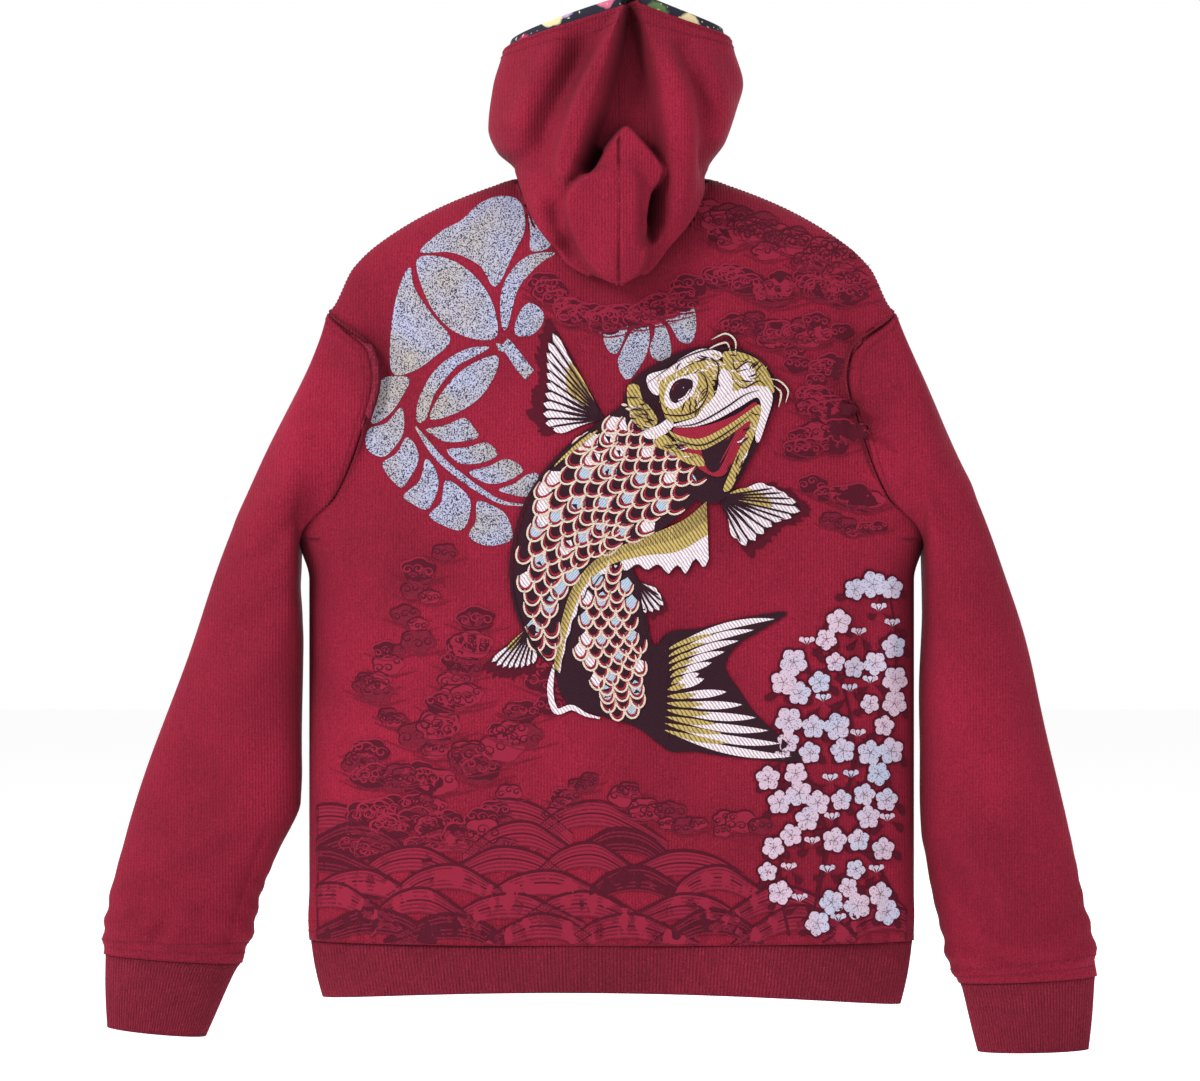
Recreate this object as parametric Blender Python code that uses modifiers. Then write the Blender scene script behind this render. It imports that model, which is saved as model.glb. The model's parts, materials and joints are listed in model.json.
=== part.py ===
"""Hooded zip sweatshirt with an embroidered carp on its back, as it hangs from a holder in its hood.

Metres, +Z up. The decorated back faces -Y, the zip +Y. The origin is the middle of the neck,
between the shoulder seams. Each sewn or fitted piece is its own closed object.
"""

import math

import bmesh
import bpy
from mathutils import Matrix, Vector

# Fabric and fits
CLOTH = 0.003            # brushed sweatshirt fabric
LINING = 0.0015          # woven hood lining
RIB = 0.003              # doubled rib knit
SEAM_GAP = 0.0005        # between two sewn pieces
ARMHOLE_GAP = 0.0020     # between body and sleeve, measured across
REST_GAP = 0.0004        # between a piece and what lies on it
INNER_GAP = 0.0007       # between the body's inner side and what is sewn there
EMBROIDERY = 0.0008      # stitched thread on its backing

# Body
SHOULDER_TIP = (0.243, -0.107)   # half width and height of the shoulder seam's outer end
NECK_CORNER = (0.080, 0.006)     # half width and height of the shoulder seam's inner end
UNDERARM = (0.269, -0.303)
SIDE_HALF = 0.260                # half width from underarm to hem seam
HEM_SEAM = -0.648
HEM_DROP = 0.052                 # rib height at the sides
HEM_ARCH = 0.012                 # how much higher the hem is in the middle
HEM_HALF = 0.249
CHEST_DEPTH = 0.055              # half depth of the body as it hangs
SHOULDER_ROUND = 0.090           # height over which the body closes to the shoulder seam
ARMHOLE_DEPTH = 0.034
BACK_NECK_DROP = 0.026
FRONT_NECK_DROP = 0.090
ARMHOLE_WAIST = ((-0.268, 0.235), (-0.215, 0.213), (-0.165, 0.200), (-0.142, 0.205))
SHOULDER_LINE = ((0.100, 0.000), (0.150, -0.020), (0.200, -0.050), (0.222, -0.071))

# Sleeves: outer edge, inner edge and half depth of each section from armhole to cuff seam
LEFT_SLEEVE = (
    ((0.258, -0.148), (0.2675, -0.325), 0.037),
    ((0.300, -0.236), (0.2655, -0.385), 0.038),
    ((0.336, -0.323), (0.2650, -0.440), 0.037),
    ((0.365, -0.409), (0.2650, -0.495), 0.036),
    ((0.402, -0.512), (0.2670, -0.530), 0.034),
    ((0.420, -0.568), (0.2880, -0.575), 0.032),
    ((0.434, -0.618), (0.3030, -0.612), 0.030),
    ((0.437, -0.660), (0.3175, -0.668), 0.027),
)
RIGHT_SLEEVE = (
    ((0.260, -0.148), (0.2675, -0.325), 0.037),
    ((0.298, -0.236), (0.2655, -0.385), 0.038),
    ((0.334, -0.323), (0.2650, -0.440), 0.037),
    ((0.360, -0.409), (0.2650, -0.500), 0.036),
    ((0.384, -0.512), (0.2660, -0.560), 0.034),
    ((0.397, -0.568), (0.2740, -0.607), 0.032),
    ((0.408, -0.625), (0.2860, -0.650), 0.030),
    ((0.4175, -0.679), (0.298, -0.685), 0.027),
)
LEFT_CUFF_END = ((0.4335, -0.723), (0.349, -0.731))
RIGHT_CUFF_END = ((0.410, -0.742), (0.315, -0.744))
CUFF_DEPTH = 0.022
CUFF_TUCK = 0.002                # how much narrower the cuff starts than the sleeve ends
CUFF_GAP = 0.0008

# Hood: heights over the turn in degrees from the back seam, half widths over the height
HOOD_FOOT = ((0, -0.094), (20, -0.083), (40, -0.055), (60, -0.026), (80, 0.005), (95, 0.012), (130, 0.010))
HOOD_LEFT_HALF = ((-0.020, 0.0830), (0.013, 0.0830), (0.030, 0.099), (0.048, 0.106), (0.084, 0.102),
                  (0.115, 0.093), (0.150, 0.086))
HOOD_RIGHT_HALF = ((-0.020, 0.0830), (0.013, 0.0830), (0.038, 0.098), (0.067, 0.108), (0.086, 0.113),
                   (0.115, 0.105), (0.150, 0.097))
HOOD_PEAK = (0.15, 0.150)        # place across, as a share of the half width, and height
HOOD_RIM_SIDE = 0.115
HOOD_RIM_FRONT = 0.040
HOOD_BACK_DEPTH = 0.085
HOOD_FRONT_DEPTH = 0.055
HOOD_TOP_DEPTH = 0.062
HOOD_TURN = 130.0                # where the face opening's edge is
HOOD_TAPER = 0.030               # height where its depth starts to change to the rim's
HOOD_BULGE = 0.6                 # under 1 squares the hood's plan
HOOD_COLUMNS = 13
HOOD_ROWS = 14
LINING_GAP = 0.0009
HOOD_AXIS = (0.02, 0.0)          # y and z of the line along X that it tips about
LINING_PROUD = 0.009             # lining showing above the rim
LINING_FOOT = 0.34               # share of the rise where the lining starts
COLLAR_BACK = 0.018
COLLAR_CORNER = 0.010
COLLAR_FRONT = 0.014
COLLAR_INSET = 0.012             # share by which it is narrower than the neck's edge

# Zip
ZIP_OPENING = 0.0075             # half distance between the front panels' edges
TEETH_GAP = 0.0006
TEETH_WIDTH = 0.004
TEETH_DEPTH = 0.003
METAL_BEVEL = 0.0004
TAPE_WIDTH = 0.013
TAPE = 0.0007
ZIP_TOP = -0.089
ZIP_FOOT = -0.6905
STOP_HEIGHT = 0.004
PIN_HEIGHT = 0.020
SLIDER_HALF = (0.0062, 0.0090)   # half width and half height
SLIDER_PLATE = 0.0015
SLIDER_CLEAR = 0.0005
SLIDER_POST = 0.0003             # half width of the post between the two rows of teeth
PULL_PIN = 0.0007
PULL_BORE = 0.0010
PULL_LENGTH = 0.026
PULL_HALF = 0.0034
PULL_THICK = 0.0014
EAR_HALF = (0.0032, 0.0018, 0.0020)
LUG_HALF = 0.0009
LUG_SLOT = 0.0013

# Small sewn pieces
POCKET = (0.028, 0.168, -0.640, -0.430)  # inner and outer edge, foot and top
POCKET_MOUTH = 0.075                     # how far the slanted mouth cuts in at the top
NECK_TAPE = (0.046, -0.086, -0.072)      # half width, foot and top
SIZE_LABEL = (0.020, -0.122, -0.0875)
CARE_LABEL = (-0.200, -0.172, -0.600, -0.555)

# Carp embroidery: spine points with the half width on each side of the spine
HEAD = (((0.142, -0.170), 0.010), ((0.125, -0.174), 0.022), ((0.100, -0.181), 0.033),
        ((0.072, -0.192), 0.038), ((0.052, -0.205), 0.036))
BODY = (((0.045, -0.215), 0.045), ((0.018, -0.242), 0.050), ((-0.012, -0.274), 0.050),
        ((-0.036, -0.312), 0.044), ((-0.046, -0.350), 0.040), ((-0.034, -0.386), 0.037),
        ((-0.010, -0.412), 0.034), ((0.020, -0.428), 0.028), ((0.040, -0.433), 0.024))
TAIL_UPPER = (((0.0485, -0.420), 0.018), ((0.078, -0.405), 0.018), ((0.112, -0.385), 0.014),
              ((0.141, -0.369), 0.004))
TAIL_LOWER = (((0.0485, -0.452), 0.012), ((0.078, -0.458), 0.020), ((0.112, -0.473), 0.016),
              ((0.150, -0.489), 0.004))
UPPER_FIN = (((-0.020, -0.207), 0.007), ((-0.036, -0.185), 0.019), ((-0.049, -0.160), 0.021),
             ((-0.056, -0.133), 0.008))
RIGHT_FIN = (((0.092, -0.270), 0.007), ((0.110, -0.279), 0.018), ((0.133, -0.290), 0.020),
             ((0.157, -0.297), 0.010))
LEFT_FIN = (((-0.094, -0.357), 0.006), ((-0.103, -0.376), 0.010), ((-0.106, -0.396), 0.006))
PELVIC_FIN = (((0.014, -0.347), 0.008), ((0.034, -0.351), 0.012), ((0.055, -0.355), 0.006))

FACE_BACK, FACE_FRONT = -1, 1
LEFT, RIGHT = -1, 1

ARMHOLE_STEPS = 9
LOWER_ROWS = (-0.335, -0.380, -0.440, -0.500, -0.560, -0.610)
NECK_COLUMNS = 6
SIDE_COLUMNS = (0.12, 0.25, 0.38, 0.51, 0.63, 0.74, 0.84, 0.93, 1.0)
PIVOT_SIZE = 0.02

parts = None
cutters = None
materials = {}


# ---------------------------------------------------------------- helpers

def reset_scene():
    """Empties the scene and makes the collections for the pieces and the cutters."""
    global parts, cutters
    for thing in list(bpy.data.objects):
        bpy.data.objects.remove(thing, do_unlink=True)
    parts = bpy.data.collections.new("hooded_sweatshirt")
    cutters = bpy.data.collections.new("cutters")
    for collection in (parts, cutters):
        bpy.context.scene.collection.children.link(collection)


def finish(name, colour, roughness, metallic=0.0):
    """A plain Principled material, made once for each name."""
    if name not in materials:
        made = bpy.data.materials.new(name)
        made.use_nodes = True
        shader = made.node_tree.nodes["Principled BSDF"]
        shader.inputs["Base Color"].default_value = (*colour, 1.0)
        shader.inputs["Roughness"].default_value = roughness
        shader.inputs["Metallic"].default_value = metallic
        materials[name] = made
    return materials[name]


def sweatshirt():
    return finish("sweatshirt_fleece", (0.235, 0.008, 0.020), 0.95)


def rib_knit():
    return finish("rib_knit", (0.190, 0.007, 0.017), 0.95)


def floral_lining():
    return finish("floral_lining", (0.30, 0.24, 0.20), 0.8)


def thread():
    return finish("embroidery_thread", (0.62, 0.50, 0.36), 0.5)


def twill_tape():
    return finish("twill_tape", (0.16, 0.006, 0.014), 0.85)


def label_satin():
    return finish("label_satin", (0.55, 0.52, 0.48), 0.6)


def zip_metal():
    return finish("zip_brass", (0.42, 0.33, 0.18), 0.35, 1.0)


def smooth_at(knots, place):
    """Value at a place on the smooth curve, without overshoot, through rising (place, value) knots."""
    if place <= knots[0][0]:
        return knots[0][1]
    if place >= knots[-1][0]:
        return knots[-1][1]
    span = next(i for i in range(len(knots) - 1) if place <= knots[i + 1][0])

    def slope(i):
        if i in (0, len(knots) - 1):
            return 0.0
        before = (knots[i][1] - knots[i - 1][1]) / (knots[i][0] - knots[i - 1][0])
        after = (knots[i + 1][1] - knots[i][1]) / (knots[i + 1][0] - knots[i][0])
        return 0.0 if before * after <= 0 else 2 * before * after / (before + after)

    (x0, y0), (x1, y1) = knots[span], knots[span + 1]
    width = x1 - x0
    t = (place - x0) / width
    return (
        y0 * (1 + 2 * t) * (1 - t) ** 2
        + slope(span) * width * t * (1 - t) ** 2
        + y1 * t * t * (3 - 2 * t)
        + slope(span + 1) * width * t * t * (t - 1)
    )


def ease(share):
    """0 to 1 with a soft start and end."""
    share = min(max(share, 0.0), 1.0)
    return share * share * (3 - 2 * share)


def new_object(name, mesh, material):
    """An object in the parts collection, shaded smooth but for its sharp edges."""
    mesh.shade_smooth()
    mesh.set_sharp_from_angle(angle=math.radians(40))
    mesh.materials.append(material)
    made = bpy.data.objects.new(name, mesh)
    parts.objects.link(made)
    return made


def weave_faces(shape, rows, closed):
    """Quads between neighbouring rows of a grid of vertices."""
    for low, high in zip(rows, rows[1:]):
        count = len(low)
        for i in range(count if closed else count - 1):
            j = (i + 1) % count
            shape.faces.new((low[i], low[j], high[j], high[i]))


def sheet_object(name, rows, closed, thickness, material):
    """A cloth piece: an open surface through rows of points, made solid towards its inner side."""
    shape = bmesh.new()
    weave_faces(shape, [[shape.verts.new(point) for point in row] for row in rows], closed)
    mesh = bpy.data.meshes.new(name)
    shape.to_mesh(mesh)
    shape.free()
    made = new_object(name, mesh, material)
    solid = made.modifiers.new("wall", "SOLIDIFY")
    solid.thickness = thickness
    solid.offset = -1.0
    return made


def shell_object(name, outer, inner, closed, material):
    """A loft whose wall lies between an outer and an inner grid of points."""
    shape = bmesh.new()
    grids = [[[shape.verts.new(point) for point in row] for row in grid] for grid in (outer, inner)]
    for grid in grids:
        weave_faces(shape, grid, closed)
    for end in (0, -1):
        weave_faces(shape, [grids[0][end], grids[1][end]], closed)
    if not closed:
        for end in (0, -1):
            weave_faces(shape, [[row[end] for row in grid] for grid in grids], False)
    bmesh.ops.recalc_face_normals(shape, faces=shape.faces)
    mesh = bpy.data.meshes.new(name)
    shape.to_mesh(mesh)
    shape.free()
    return new_object(name, mesh, material)


def block(name, low, high, material, bevel=0.0):
    """A box between two corners, with its edges rounded."""
    shape = bmesh.new()
    bmesh.ops.create_cube(shape, size=1.0)
    for vertex in shape.verts:
        for i in range(3):
            vertex.co[i] = low[i] if vertex.co[i] < 0 else high[i]
    mesh = bpy.data.meshes.new(name)
    shape.to_mesh(mesh)
    shape.free()
    made = new_object(name, mesh, material)
    if bevel:
        rounding = made.modifiers.new("edges", "BEVEL")
        rounding.width = bevel
        rounding.segments = 2
    return made


def rod_along_x(name, radius, half, y, z, material, sides=16):
    """A round bar along X."""
    shape = bmesh.new()
    bmesh.ops.create_cone(
        shape, cap_ends=True, segments=sides, radius1=radius, radius2=radius, depth=2 * half,
    )
    for vertex in shape.verts:
        across, up, along = vertex.co
        vertex.co = (along, y + across, z + up)
    shape.normal_update()
    mesh = bpy.data.meshes.new(name)
    shape.to_mesh(mesh)
    shape.free()
    return new_object(name, mesh, material)


def combine(body, tool, operation):
    """Joins the tool to the body, or cuts it out, and keeps the tool as a hidden guide."""
    parts.objects.unlink(tool)
    cutters.objects.link(tool)
    tool.hide_render = True
    tool.display_type = "WIRE"
    step = body.modifiers.new(tool.name, "BOOLEAN")
    step.operation = operation
    step.object = tool


# ---------------------------------------------------------------- body

def armhole_level(step):
    """Height of a row that crosses the armhole, from underarm (0) to shoulder tip (ARMHOLE_STEPS)."""
    share = (1 - math.cos(math.pi * step / ARMHOLE_STEPS)) / 2
    return UNDERARM[1] + share * (SHOULDER_TIP[1] - UNDERARM[1])


def side_half(level):
    """Half width of the body at its side seam or armhole."""
    knots = (
        (HEM_SEAM, SIDE_HALF), (UNDERARM[1] - 0.035, SIDE_HALF), (UNDERARM[1], UNDERARM[0]),
        *ARMHOLE_WAIST, (SHOULDER_TIP[1], SHOULDER_TIP[0]),
    )
    return smooth_at(knots, level)


def armhole_depth(level):
    """Half depth of the armhole loop, nothing at its two tips."""
    share = (level - UNDERARM[1]) / (SHOULDER_TIP[1] - UNDERARM[1])
    return ARMHOLE_DEPTH * math.sqrt(max(0.0, 1 - (2 * share - 1) ** 2)) if 0 < share < 1 else 0.0


def shoulder_height(x):
    """Height of the shoulder seam, carried on over the neck."""
    inner, tip = NECK_CORNER, SHOULDER_TIP
    if abs(x) <= inner[0]:
        return inner[1] + 0.5 * (inner[0] - abs(x))
    return smooth_at((inner, *SHOULDER_LINE, tip), abs(x))


def top_height(x, face):
    """Height of a panel's top edge: the shoulder seam, and the neck's curve between its corners."""
    corner, height = NECK_CORNER
    if abs(x) >= corner:
        return shoulder_height(x)
    drop = BACK_NECK_DROP if face == FACE_BACK else FRONT_NECK_DROP
    return height - drop * math.sqrt(1 - (abs(x) / corner) ** 2)


def row_lift(place, level, face):
    """How far a row rises above its side at a place across, from none (0) at the side to the middle."""
    lift = ease((level - UNDERARM[1]) / (SHOULDER_TIP[1] - UNDERARM[1]))
    return lift * (top_height(SHOULDER_TIP[0] * place, face) - SHOULDER_TIP[1])


def inset_across(place, inset):
    """How much of the wall's depth is taken across: all of it at the side, next to none in the middle."""
    return inset * place ** 4


def body_point(share, level, face, inset=0.0, start=0.0):
    """A point of the body's wall.

    share runs from the centre (0) to the side (1, or -1 to the left), level is the height of its row
    at the side, inset is the depth into the wall, and start is the half width left open in the middle.
    """
    half = side_half(level)
    edge = max(armhole_depth(level) - inset, SEAM_GAP / 2)
    first = math.asin(start / half)
    turn = math.copysign(first + (math.pi / 2 - first) * abs(share), share)
    x = math.copysign(half * abs(math.sin(turn)) - inset_across(math.sin(turn), inset), share)
    z = level + row_lift(math.sin(turn), level, face)
    near = min(max((shoulder_height(x) - z) / SHOULDER_ROUND, 0.0), 1.0)
    closing = math.sqrt(1 - (1 - near) ** 2)
    y = edge + (CHEST_DEPTH - inset - edge) * math.cos(turn) * closing
    return x, face * y, z - inset * (1 - closing)


def columns(start=0.0):
    """Shares across half a panel, with one on the neck's corner at the top row."""
    first = math.asin(start / SHOULDER_TIP[0])
    corner = (math.asin(NECK_CORNER[0] / SHOULDER_TIP[0]) - first) / (math.pi / 2 - first)
    neck = [corner * math.sin(math.pi / 2 * i / NECK_COLUMNS) for i in range(NECK_COLUMNS + 1)]
    return neck, [corner + (1 - corner) * share for share in SIDE_COLUMNS]


def body_levels():
    """Row heights of a body panel, hem seam to shoulder."""
    return [HEM_SEAM, *sorted(LOWER_ROWS), *(armhole_level(step) for step in range(ARMHOLE_STEPS + 1))]


def body_panel(name, shares, face, start=0.0):
    grids = [
        [[body_point(share, level, face, inset, start) for share in shares] for level in body_levels()]
        for inset in (0.0, CLOTH)
    ]
    return shell_object(name, *grids, False, sweatshirt())


def body_depth(x, z, inset=0.0):
    """Half depth of the back's wall at a place, found by halving the span of rows that can hold it."""
    low, high = HEM_SEAM, SHOULDER_TIP[1]
    for _ in range(30):
        level = (low + high) / 2
        half = side_half(level)
        place = min(1.0, (abs(x) + inset_across(min(1.0, abs(x) / half), inset)) / half)
        if level + row_lift(place, level, FACE_BACK) < z:
            low = level
        else:
            high = level
    return -body_point(math.asin(place) / (math.pi / 2), level, FACE_BACK, inset)[1]


def hem_height(x, share):
    """Height in the hem band, from its seam (0) to its lower edge (1)."""
    foot = HEM_SEAM - HEM_DROP - 0.003 * x / HEM_HALF + HEM_ARCH * (1 - (x / HEM_HALF) ** 2)
    return HEM_SEAM - SEAM_GAP + share * (foot - HEM_SEAM + SEAM_GAP)


def hem_band():
    """Rib band that runs round the body from one side of the zip to the other."""
    rows = []
    for share in (0.0, 0.35, 0.7, 1.0):
        half = SIDE_HALF - 0.001 + (HEM_HALF - SIDE_HALF + 0.001) * share
        first = math.asin(ZIP_OPENING / half)
        row = []
        for i in range(49):
            turn = first + (2 * math.pi - 2 * first) * i / 48
            x = half * math.sin(turn)
            row.append((x, CHEST_DEPTH * math.cos(turn), hem_height(x, share)))
        rows.append(row)
    sheet_object("hem_band", rows, False, RIB, rib_knit())


def torso():
    neck, side = columns()
    half = neck + side
    body_panel("back_panel", [-share for share in reversed(half[1:])] + half, FACE_BACK)
    neck, side = columns(ZIP_OPENING)
    body_panel("front_right_panel", neck + side, FACE_FRONT, ZIP_OPENING)
    body_panel("front_left_panel", [-share for share in neck + side], FACE_FRONT, ZIP_OPENING)
    hem_band()


# ---------------------------------------------------------------- sleeves

def loop_point(outer, inner, depth, turn, inset):
    """A point of a sleeve's section: turn 0 is at the outer edge, half a turn at the inner one."""
    across = math.hypot(inner[0] - outer[0], inner[1] - outer[1])
    share = (inset + (across - 2 * inset) * (1 - math.cos(turn)) / 2) / across
    x = outer[0] + (inner[0] - outer[0]) * share
    z = outer[1] + (inner[1] - outer[1]) * share
    return x, -(depth - inset) * math.sin(turn), z


def armhole_loop(inset):
    """The sleeve's first section, which follows the body's armhole."""
    points = []
    for step in range(2 * ARMHOLE_STEPS):
        turn = math.pi * step / ARMHOLE_STEPS
        level = armhole_level(ARMHOLE_STEPS - step)
        low, high = UNDERARM[1] + inset, SHOULDER_TIP[1] - inset
        level = min(max(level, low), high)
        depth = (ARMHOLE_DEPTH - inset) * math.sin(turn)
        points.append((side_half(level) + ARMHOLE_GAP, -depth, level))
    return points


def sleeve(side, sections, cuff_end):
    """A sleeve and its cuff, the first from the armhole to the cuff seam."""
    word = "left" if side == LEFT else "right"
    turns = [math.pi * step / ARMHOLE_STEPS for step in range(2 * ARMHOLE_STEPS)]
    grids = []
    for inset in (0.0, CLOTH):
        rows = [armhole_loop(inset)]
        for outer, inner, depth in sections:
            rows.append([loop_point(outer, inner, depth, turn, inset) for turn in turns])
        grids.append([[(side * x, y, z) for x, y, z in row] for row in rows])
    shell_object(f"{word}_sleeve", *grids, True, sweatshirt())

    outer, inner, depth = sections[-1]
    top = ((outer[0] - CUFF_TUCK, outer[1] - CUFF_GAP), (inner[0] + CUFF_TUCK, inner[1] - CUFF_GAP))
    rows = []
    for share in (0.0, 0.12, 0.55, 1.0):
        pull = share ** 0.8
        ends = [
            [a + (b - a) * blend for a, b, blend in zip(top[i], cuff_end[i], (pull, share))]
            for i in (0, 1)
        ]
        wall = depth - CUFF_TUCK / 2 + (CUFF_DEPTH - depth + CUFF_TUCK / 2) * share
        rows.append([loop_point(*ends, wall, turn, 0.0) for turn in turns])
    rows = [[(side * x, y, z) for x, y, z in row] for row in rows]
    if side == LEFT:
        rows = [row[::-1] for row in rows]
    sheet_object(f"{word}_cuff", rows, True, RIB, rib_knit())


# ---------------------------------------------------------------- hood and neck

def rim_height(turn):
    """Height of the face opening's edge."""
    place = math.sin(math.radians(turn))
    if abs(turn) <= 90:
        fall = abs(place - HOOD_PEAK[0]) / (1 + abs(HOOD_PEAK[0]))
        return HOOD_PEAK[1] - (HOOD_PEAK[1] - HOOD_RIM_SIDE) * fall
    share = ease((abs(turn) - 90) / (HOOD_TURN - 90))
    return HOOD_RIM_SIDE + (HOOD_RIM_FRONT - HOOD_RIM_SIDE) * share


def hood_point(turn, rise):
    """A point of the hood: turn in degrees from the back seam, rise from its foot (0) to its rim (1)."""
    angle = math.radians(turn)
    foot = smooth_at(HOOD_FOOT, abs(turn))
    z = foot + (rim_height(turn) - foot) * rise
    half = smooth_at(HOOD_LEFT_HALF if turn < 0 else HOOD_RIGHT_HALF, z)
    reach = HOOD_BACK_DEPTH if abs(turn) <= 90 else HOOD_FRONT_DEPTH
    depth = reach + (HOOD_TOP_DEPTH - reach) * ease((z - HOOD_TAPER) / (HOOD_PEAK[1] - HOOD_TAPER))
    y = -math.copysign(depth * abs(math.cos(angle)) ** HOOD_BULGE, math.cos(angle))
    return Vector((half * math.sin(angle), y, z))


def inside_hood(turn, rise, inset):
    """The point that lies inset within the hood's wall."""
    step = 0.5
    around = hood_point(turn + step, rise) - hood_point(turn - step, rise)
    upward = hood_point(turn, rise + 0.01) - hood_point(turn, rise - 0.01)
    return hood_point(turn, rise) - around.cross(upward).normalized() * inset


def hood():
    """Two outer panels that meet in the back seam, and their linings."""
    for side, word in ((LEFT, "left"), (RIGHT, "right")):
        turns = [side * HOOD_TURN * i / HOOD_COLUMNS for i in range(HOOD_COLUMNS + 1)]
        for name, inset, first, proud, wall, material in (
            (f"hood_{word}_panel", 0.0, 0.0, 0.0, CLOTH, sweatshirt()),
            (f"hood_lining_{word}", CLOTH + LINING_GAP, LINING_FOOT, LINING_PROUD, LINING, floral_lining()),
        ):
            rows = []
            for i in range(HOOD_ROWS + 1):
                row = []
                for turn in turns:
                    last = 1 + proud / (rim_height(turn) - smooth_at(HOOD_FOOT, abs(turn)))
                    point = inside_hood(turn, first + (last - first) * i / HOOD_ROWS, inset)
                    row.append((point.x if turn else side * SEAM_GAP, point.y, point.z))
                rows.append(row[::side])
            sheet_object(name, rows, False, wall, material)


def collar():
    """Neck band that the hood is sewn to, standing on the neck's edge from zip to zip."""
    back, _ = columns()
    front, _ = columns(ZIP_OPENING)
    edge = []
    for shares, face, start, tallest in (
        ([-share for share in front], FACE_FRONT, ZIP_OPENING, COLLAR_FRONT),
        ([-share for share in reversed(back[:-1])] + back[1:], FACE_BACK, 0.0, COLLAR_BACK),
        (list(reversed(front)), FACE_FRONT, ZIP_OPENING, COLLAR_FRONT),
    ):
        for share in shares:
            x, y, z = body_point(share, SHOULDER_TIP[1], face, 0.0, start)
            middle = math.sqrt(max(0.0, 1 - abs(x) / NECK_CORNER[0]))
            height = COLLAR_CORNER + (tallest - COLLAR_CORNER) * middle
            edge.append((x * (1 - COLLAR_INSET), y, z + SEAM_GAP, height))
    rows = [[(x, y, z + height * share) for x, y, z, height in edge] for share in (0.0, 0.5, 1.0)]
    sheet_object("hood_base", rows, False, CLOTH, sweatshirt())


# ---------------------------------------------------------------- zip

def teeth_span():
    """Front and back of the rows of teeth."""
    back = CHEST_DEPTH - CLOTH - REST_GAP - TAPE / 2 - TEETH_DEPTH / 2
    return back, back + TEETH_DEPTH


def zip_fastener():
    """Tapes, rows of teeth, stops, the insertion pin and its box."""
    back, front = teeth_span()
    tape = (CHEST_DEPTH - CLOTH - REST_GAP - TAPE, CHEST_DEPTH - CLOTH - REST_GAP)
    box_top = ZIP_FOOT + STOP_HEIGHT * 2
    for side, word in ((LEFT, "left"), (RIGHT, "right")):
        def across(near, far):
            return sorted((side * near, side * far))

        near, far = across(TEETH_GAP + TEETH_WIDTH + SEAM_GAP, TEETH_GAP + TEETH_WIDTH + TAPE_WIDTH)
        block(f"zip_tape_{word}", (near, tape[0], ZIP_FOOT), (far, tape[1], ZIP_TOP), twill_tape())
        near, far = across(TEETH_GAP, TEETH_GAP + TEETH_WIDTH)
        row_top = ZIP_TOP - STOP_HEIGHT - SEAM_GAP
        row_foot = (ZIP_FOOT + PIN_HEIGHT if side == LEFT else box_top) + SEAM_GAP
        block(f"zip_teeth_{word}", (near, back, row_foot), (far, front, row_top), zip_metal())
        name, top = ("zip_pin", row_foot - SEAM_GAP) if side == LEFT else ("zip_retainer_box", box_top)
        for piece, low, high in (
            (f"zip_top_stop_{word}", row_top + SEAM_GAP, ZIP_TOP), (name, ZIP_FOOT, top),
        ):
            block(piece, (near, back, low), (far, front, high), zip_metal(), METAL_BEVEL)


def slider_middle():
    """Height of the slider when the zip is closed."""
    return ZIP_TOP - STOP_HEIGHT - SLIDER_HALF[1] - SEAM_GAP


def zip_slider():
    """Two plates and the post that joins them, with the lug and pin that carry the pull."""
    back, front = teeth_span()
    wide, tall = SLIDER_HALF
    middle = slider_middle()
    face = front + SLIDER_CLEAR
    rear = back - SLIDER_CLEAR
    body, plate = (
        block(name, (-wide, low, middle - tall), (wide, low + SLIDER_PLATE, middle + tall), zip_metal())
        for name, low in (("zip_slider", face), ("rear_plate", rear - SLIDER_PLATE))
    )
    overlap = SLIDER_PLATE / 2
    post = block(
        "post", (-SLIDER_POST, rear - overlap, middle - tall * 0.3),
        (SLIDER_POST, face + overlap, middle + tall * 0.8), zip_metal(),
    )
    y, z = pull_axis()
    lug = block(
        "lug", (-LUG_HALF, face + overlap, z - EAR_HALF[2]),
        (LUG_HALF, y + EAR_HALF[1] * 0.8, z + EAR_HALF[2]), zip_metal(),
    )
    pin = rod_along_x("pull_pin", PULL_PIN, EAR_HALF[0], y, z, zip_metal())
    for tool in (plate, post, lug, pin):
        combine(body, tool, "UNION")


def pull_axis():
    """Y and Z of the pull's pin."""
    ear_reach = math.hypot(EAR_HALF[1], EAR_HALF[2])
    return teeth_span()[1] + SLIDER_CLEAR + SLIDER_PLATE + ear_reach + REST_GAP, slider_middle() + 0.002


def zip_pull():
    """Tab that hangs from the slider's pin, slotted for the lug."""
    y, z = pull_axis()
    wide, deep, tall = EAR_HALF
    body = block("zip_pull", (-wide, y - deep, z - tall), (wide, y + deep, z + tall), zip_metal())
    tab = block(
        "tab", (-PULL_HALF, y - PULL_THICK / 2, z - PULL_LENGTH),
        (PULL_HALF, y + PULL_THICK / 2, z - tall * 0.8), zip_metal(),
    )
    slot = block(
        "slot", (-LUG_SLOT, y - 3 * deep, z - tall * 1.6),
        (LUG_SLOT, y + 3 * deep, z + 2 * tall), zip_metal(),
    )
    bore = rod_along_x("bore", PULL_BORE, 2 * wide, y, z, zip_metal())
    combine(body, tab, "UNION")
    combine(body, slot, "DIFFERENCE")
    combine(body, bore, "DIFFERENCE")


# ---------------------------------------------------------------- patches on the body

def patch(name, rows, face, lift, thickness, material):
    """A flat piece that follows the body's wall, outside it, or inside it where lift is negative."""
    placed = []
    for row in rows:
        line = []
        for x, z in row:
            depth = body_depth(x, z) + lift if lift > 0 else body_depth(x, z, CLOTH) + lift
            line.append((x, face * depth, z))
        placed.append(line)
    made = sheet_object(name, placed, False, thickness, material)
    made.modifiers["wall"].offset = 1.0 if lift > 0 else -1.0
    outward = made.data.polygons[0].normal.y * face > 0
    if not outward:
        made.data.flip_normals()
    return made


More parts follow.
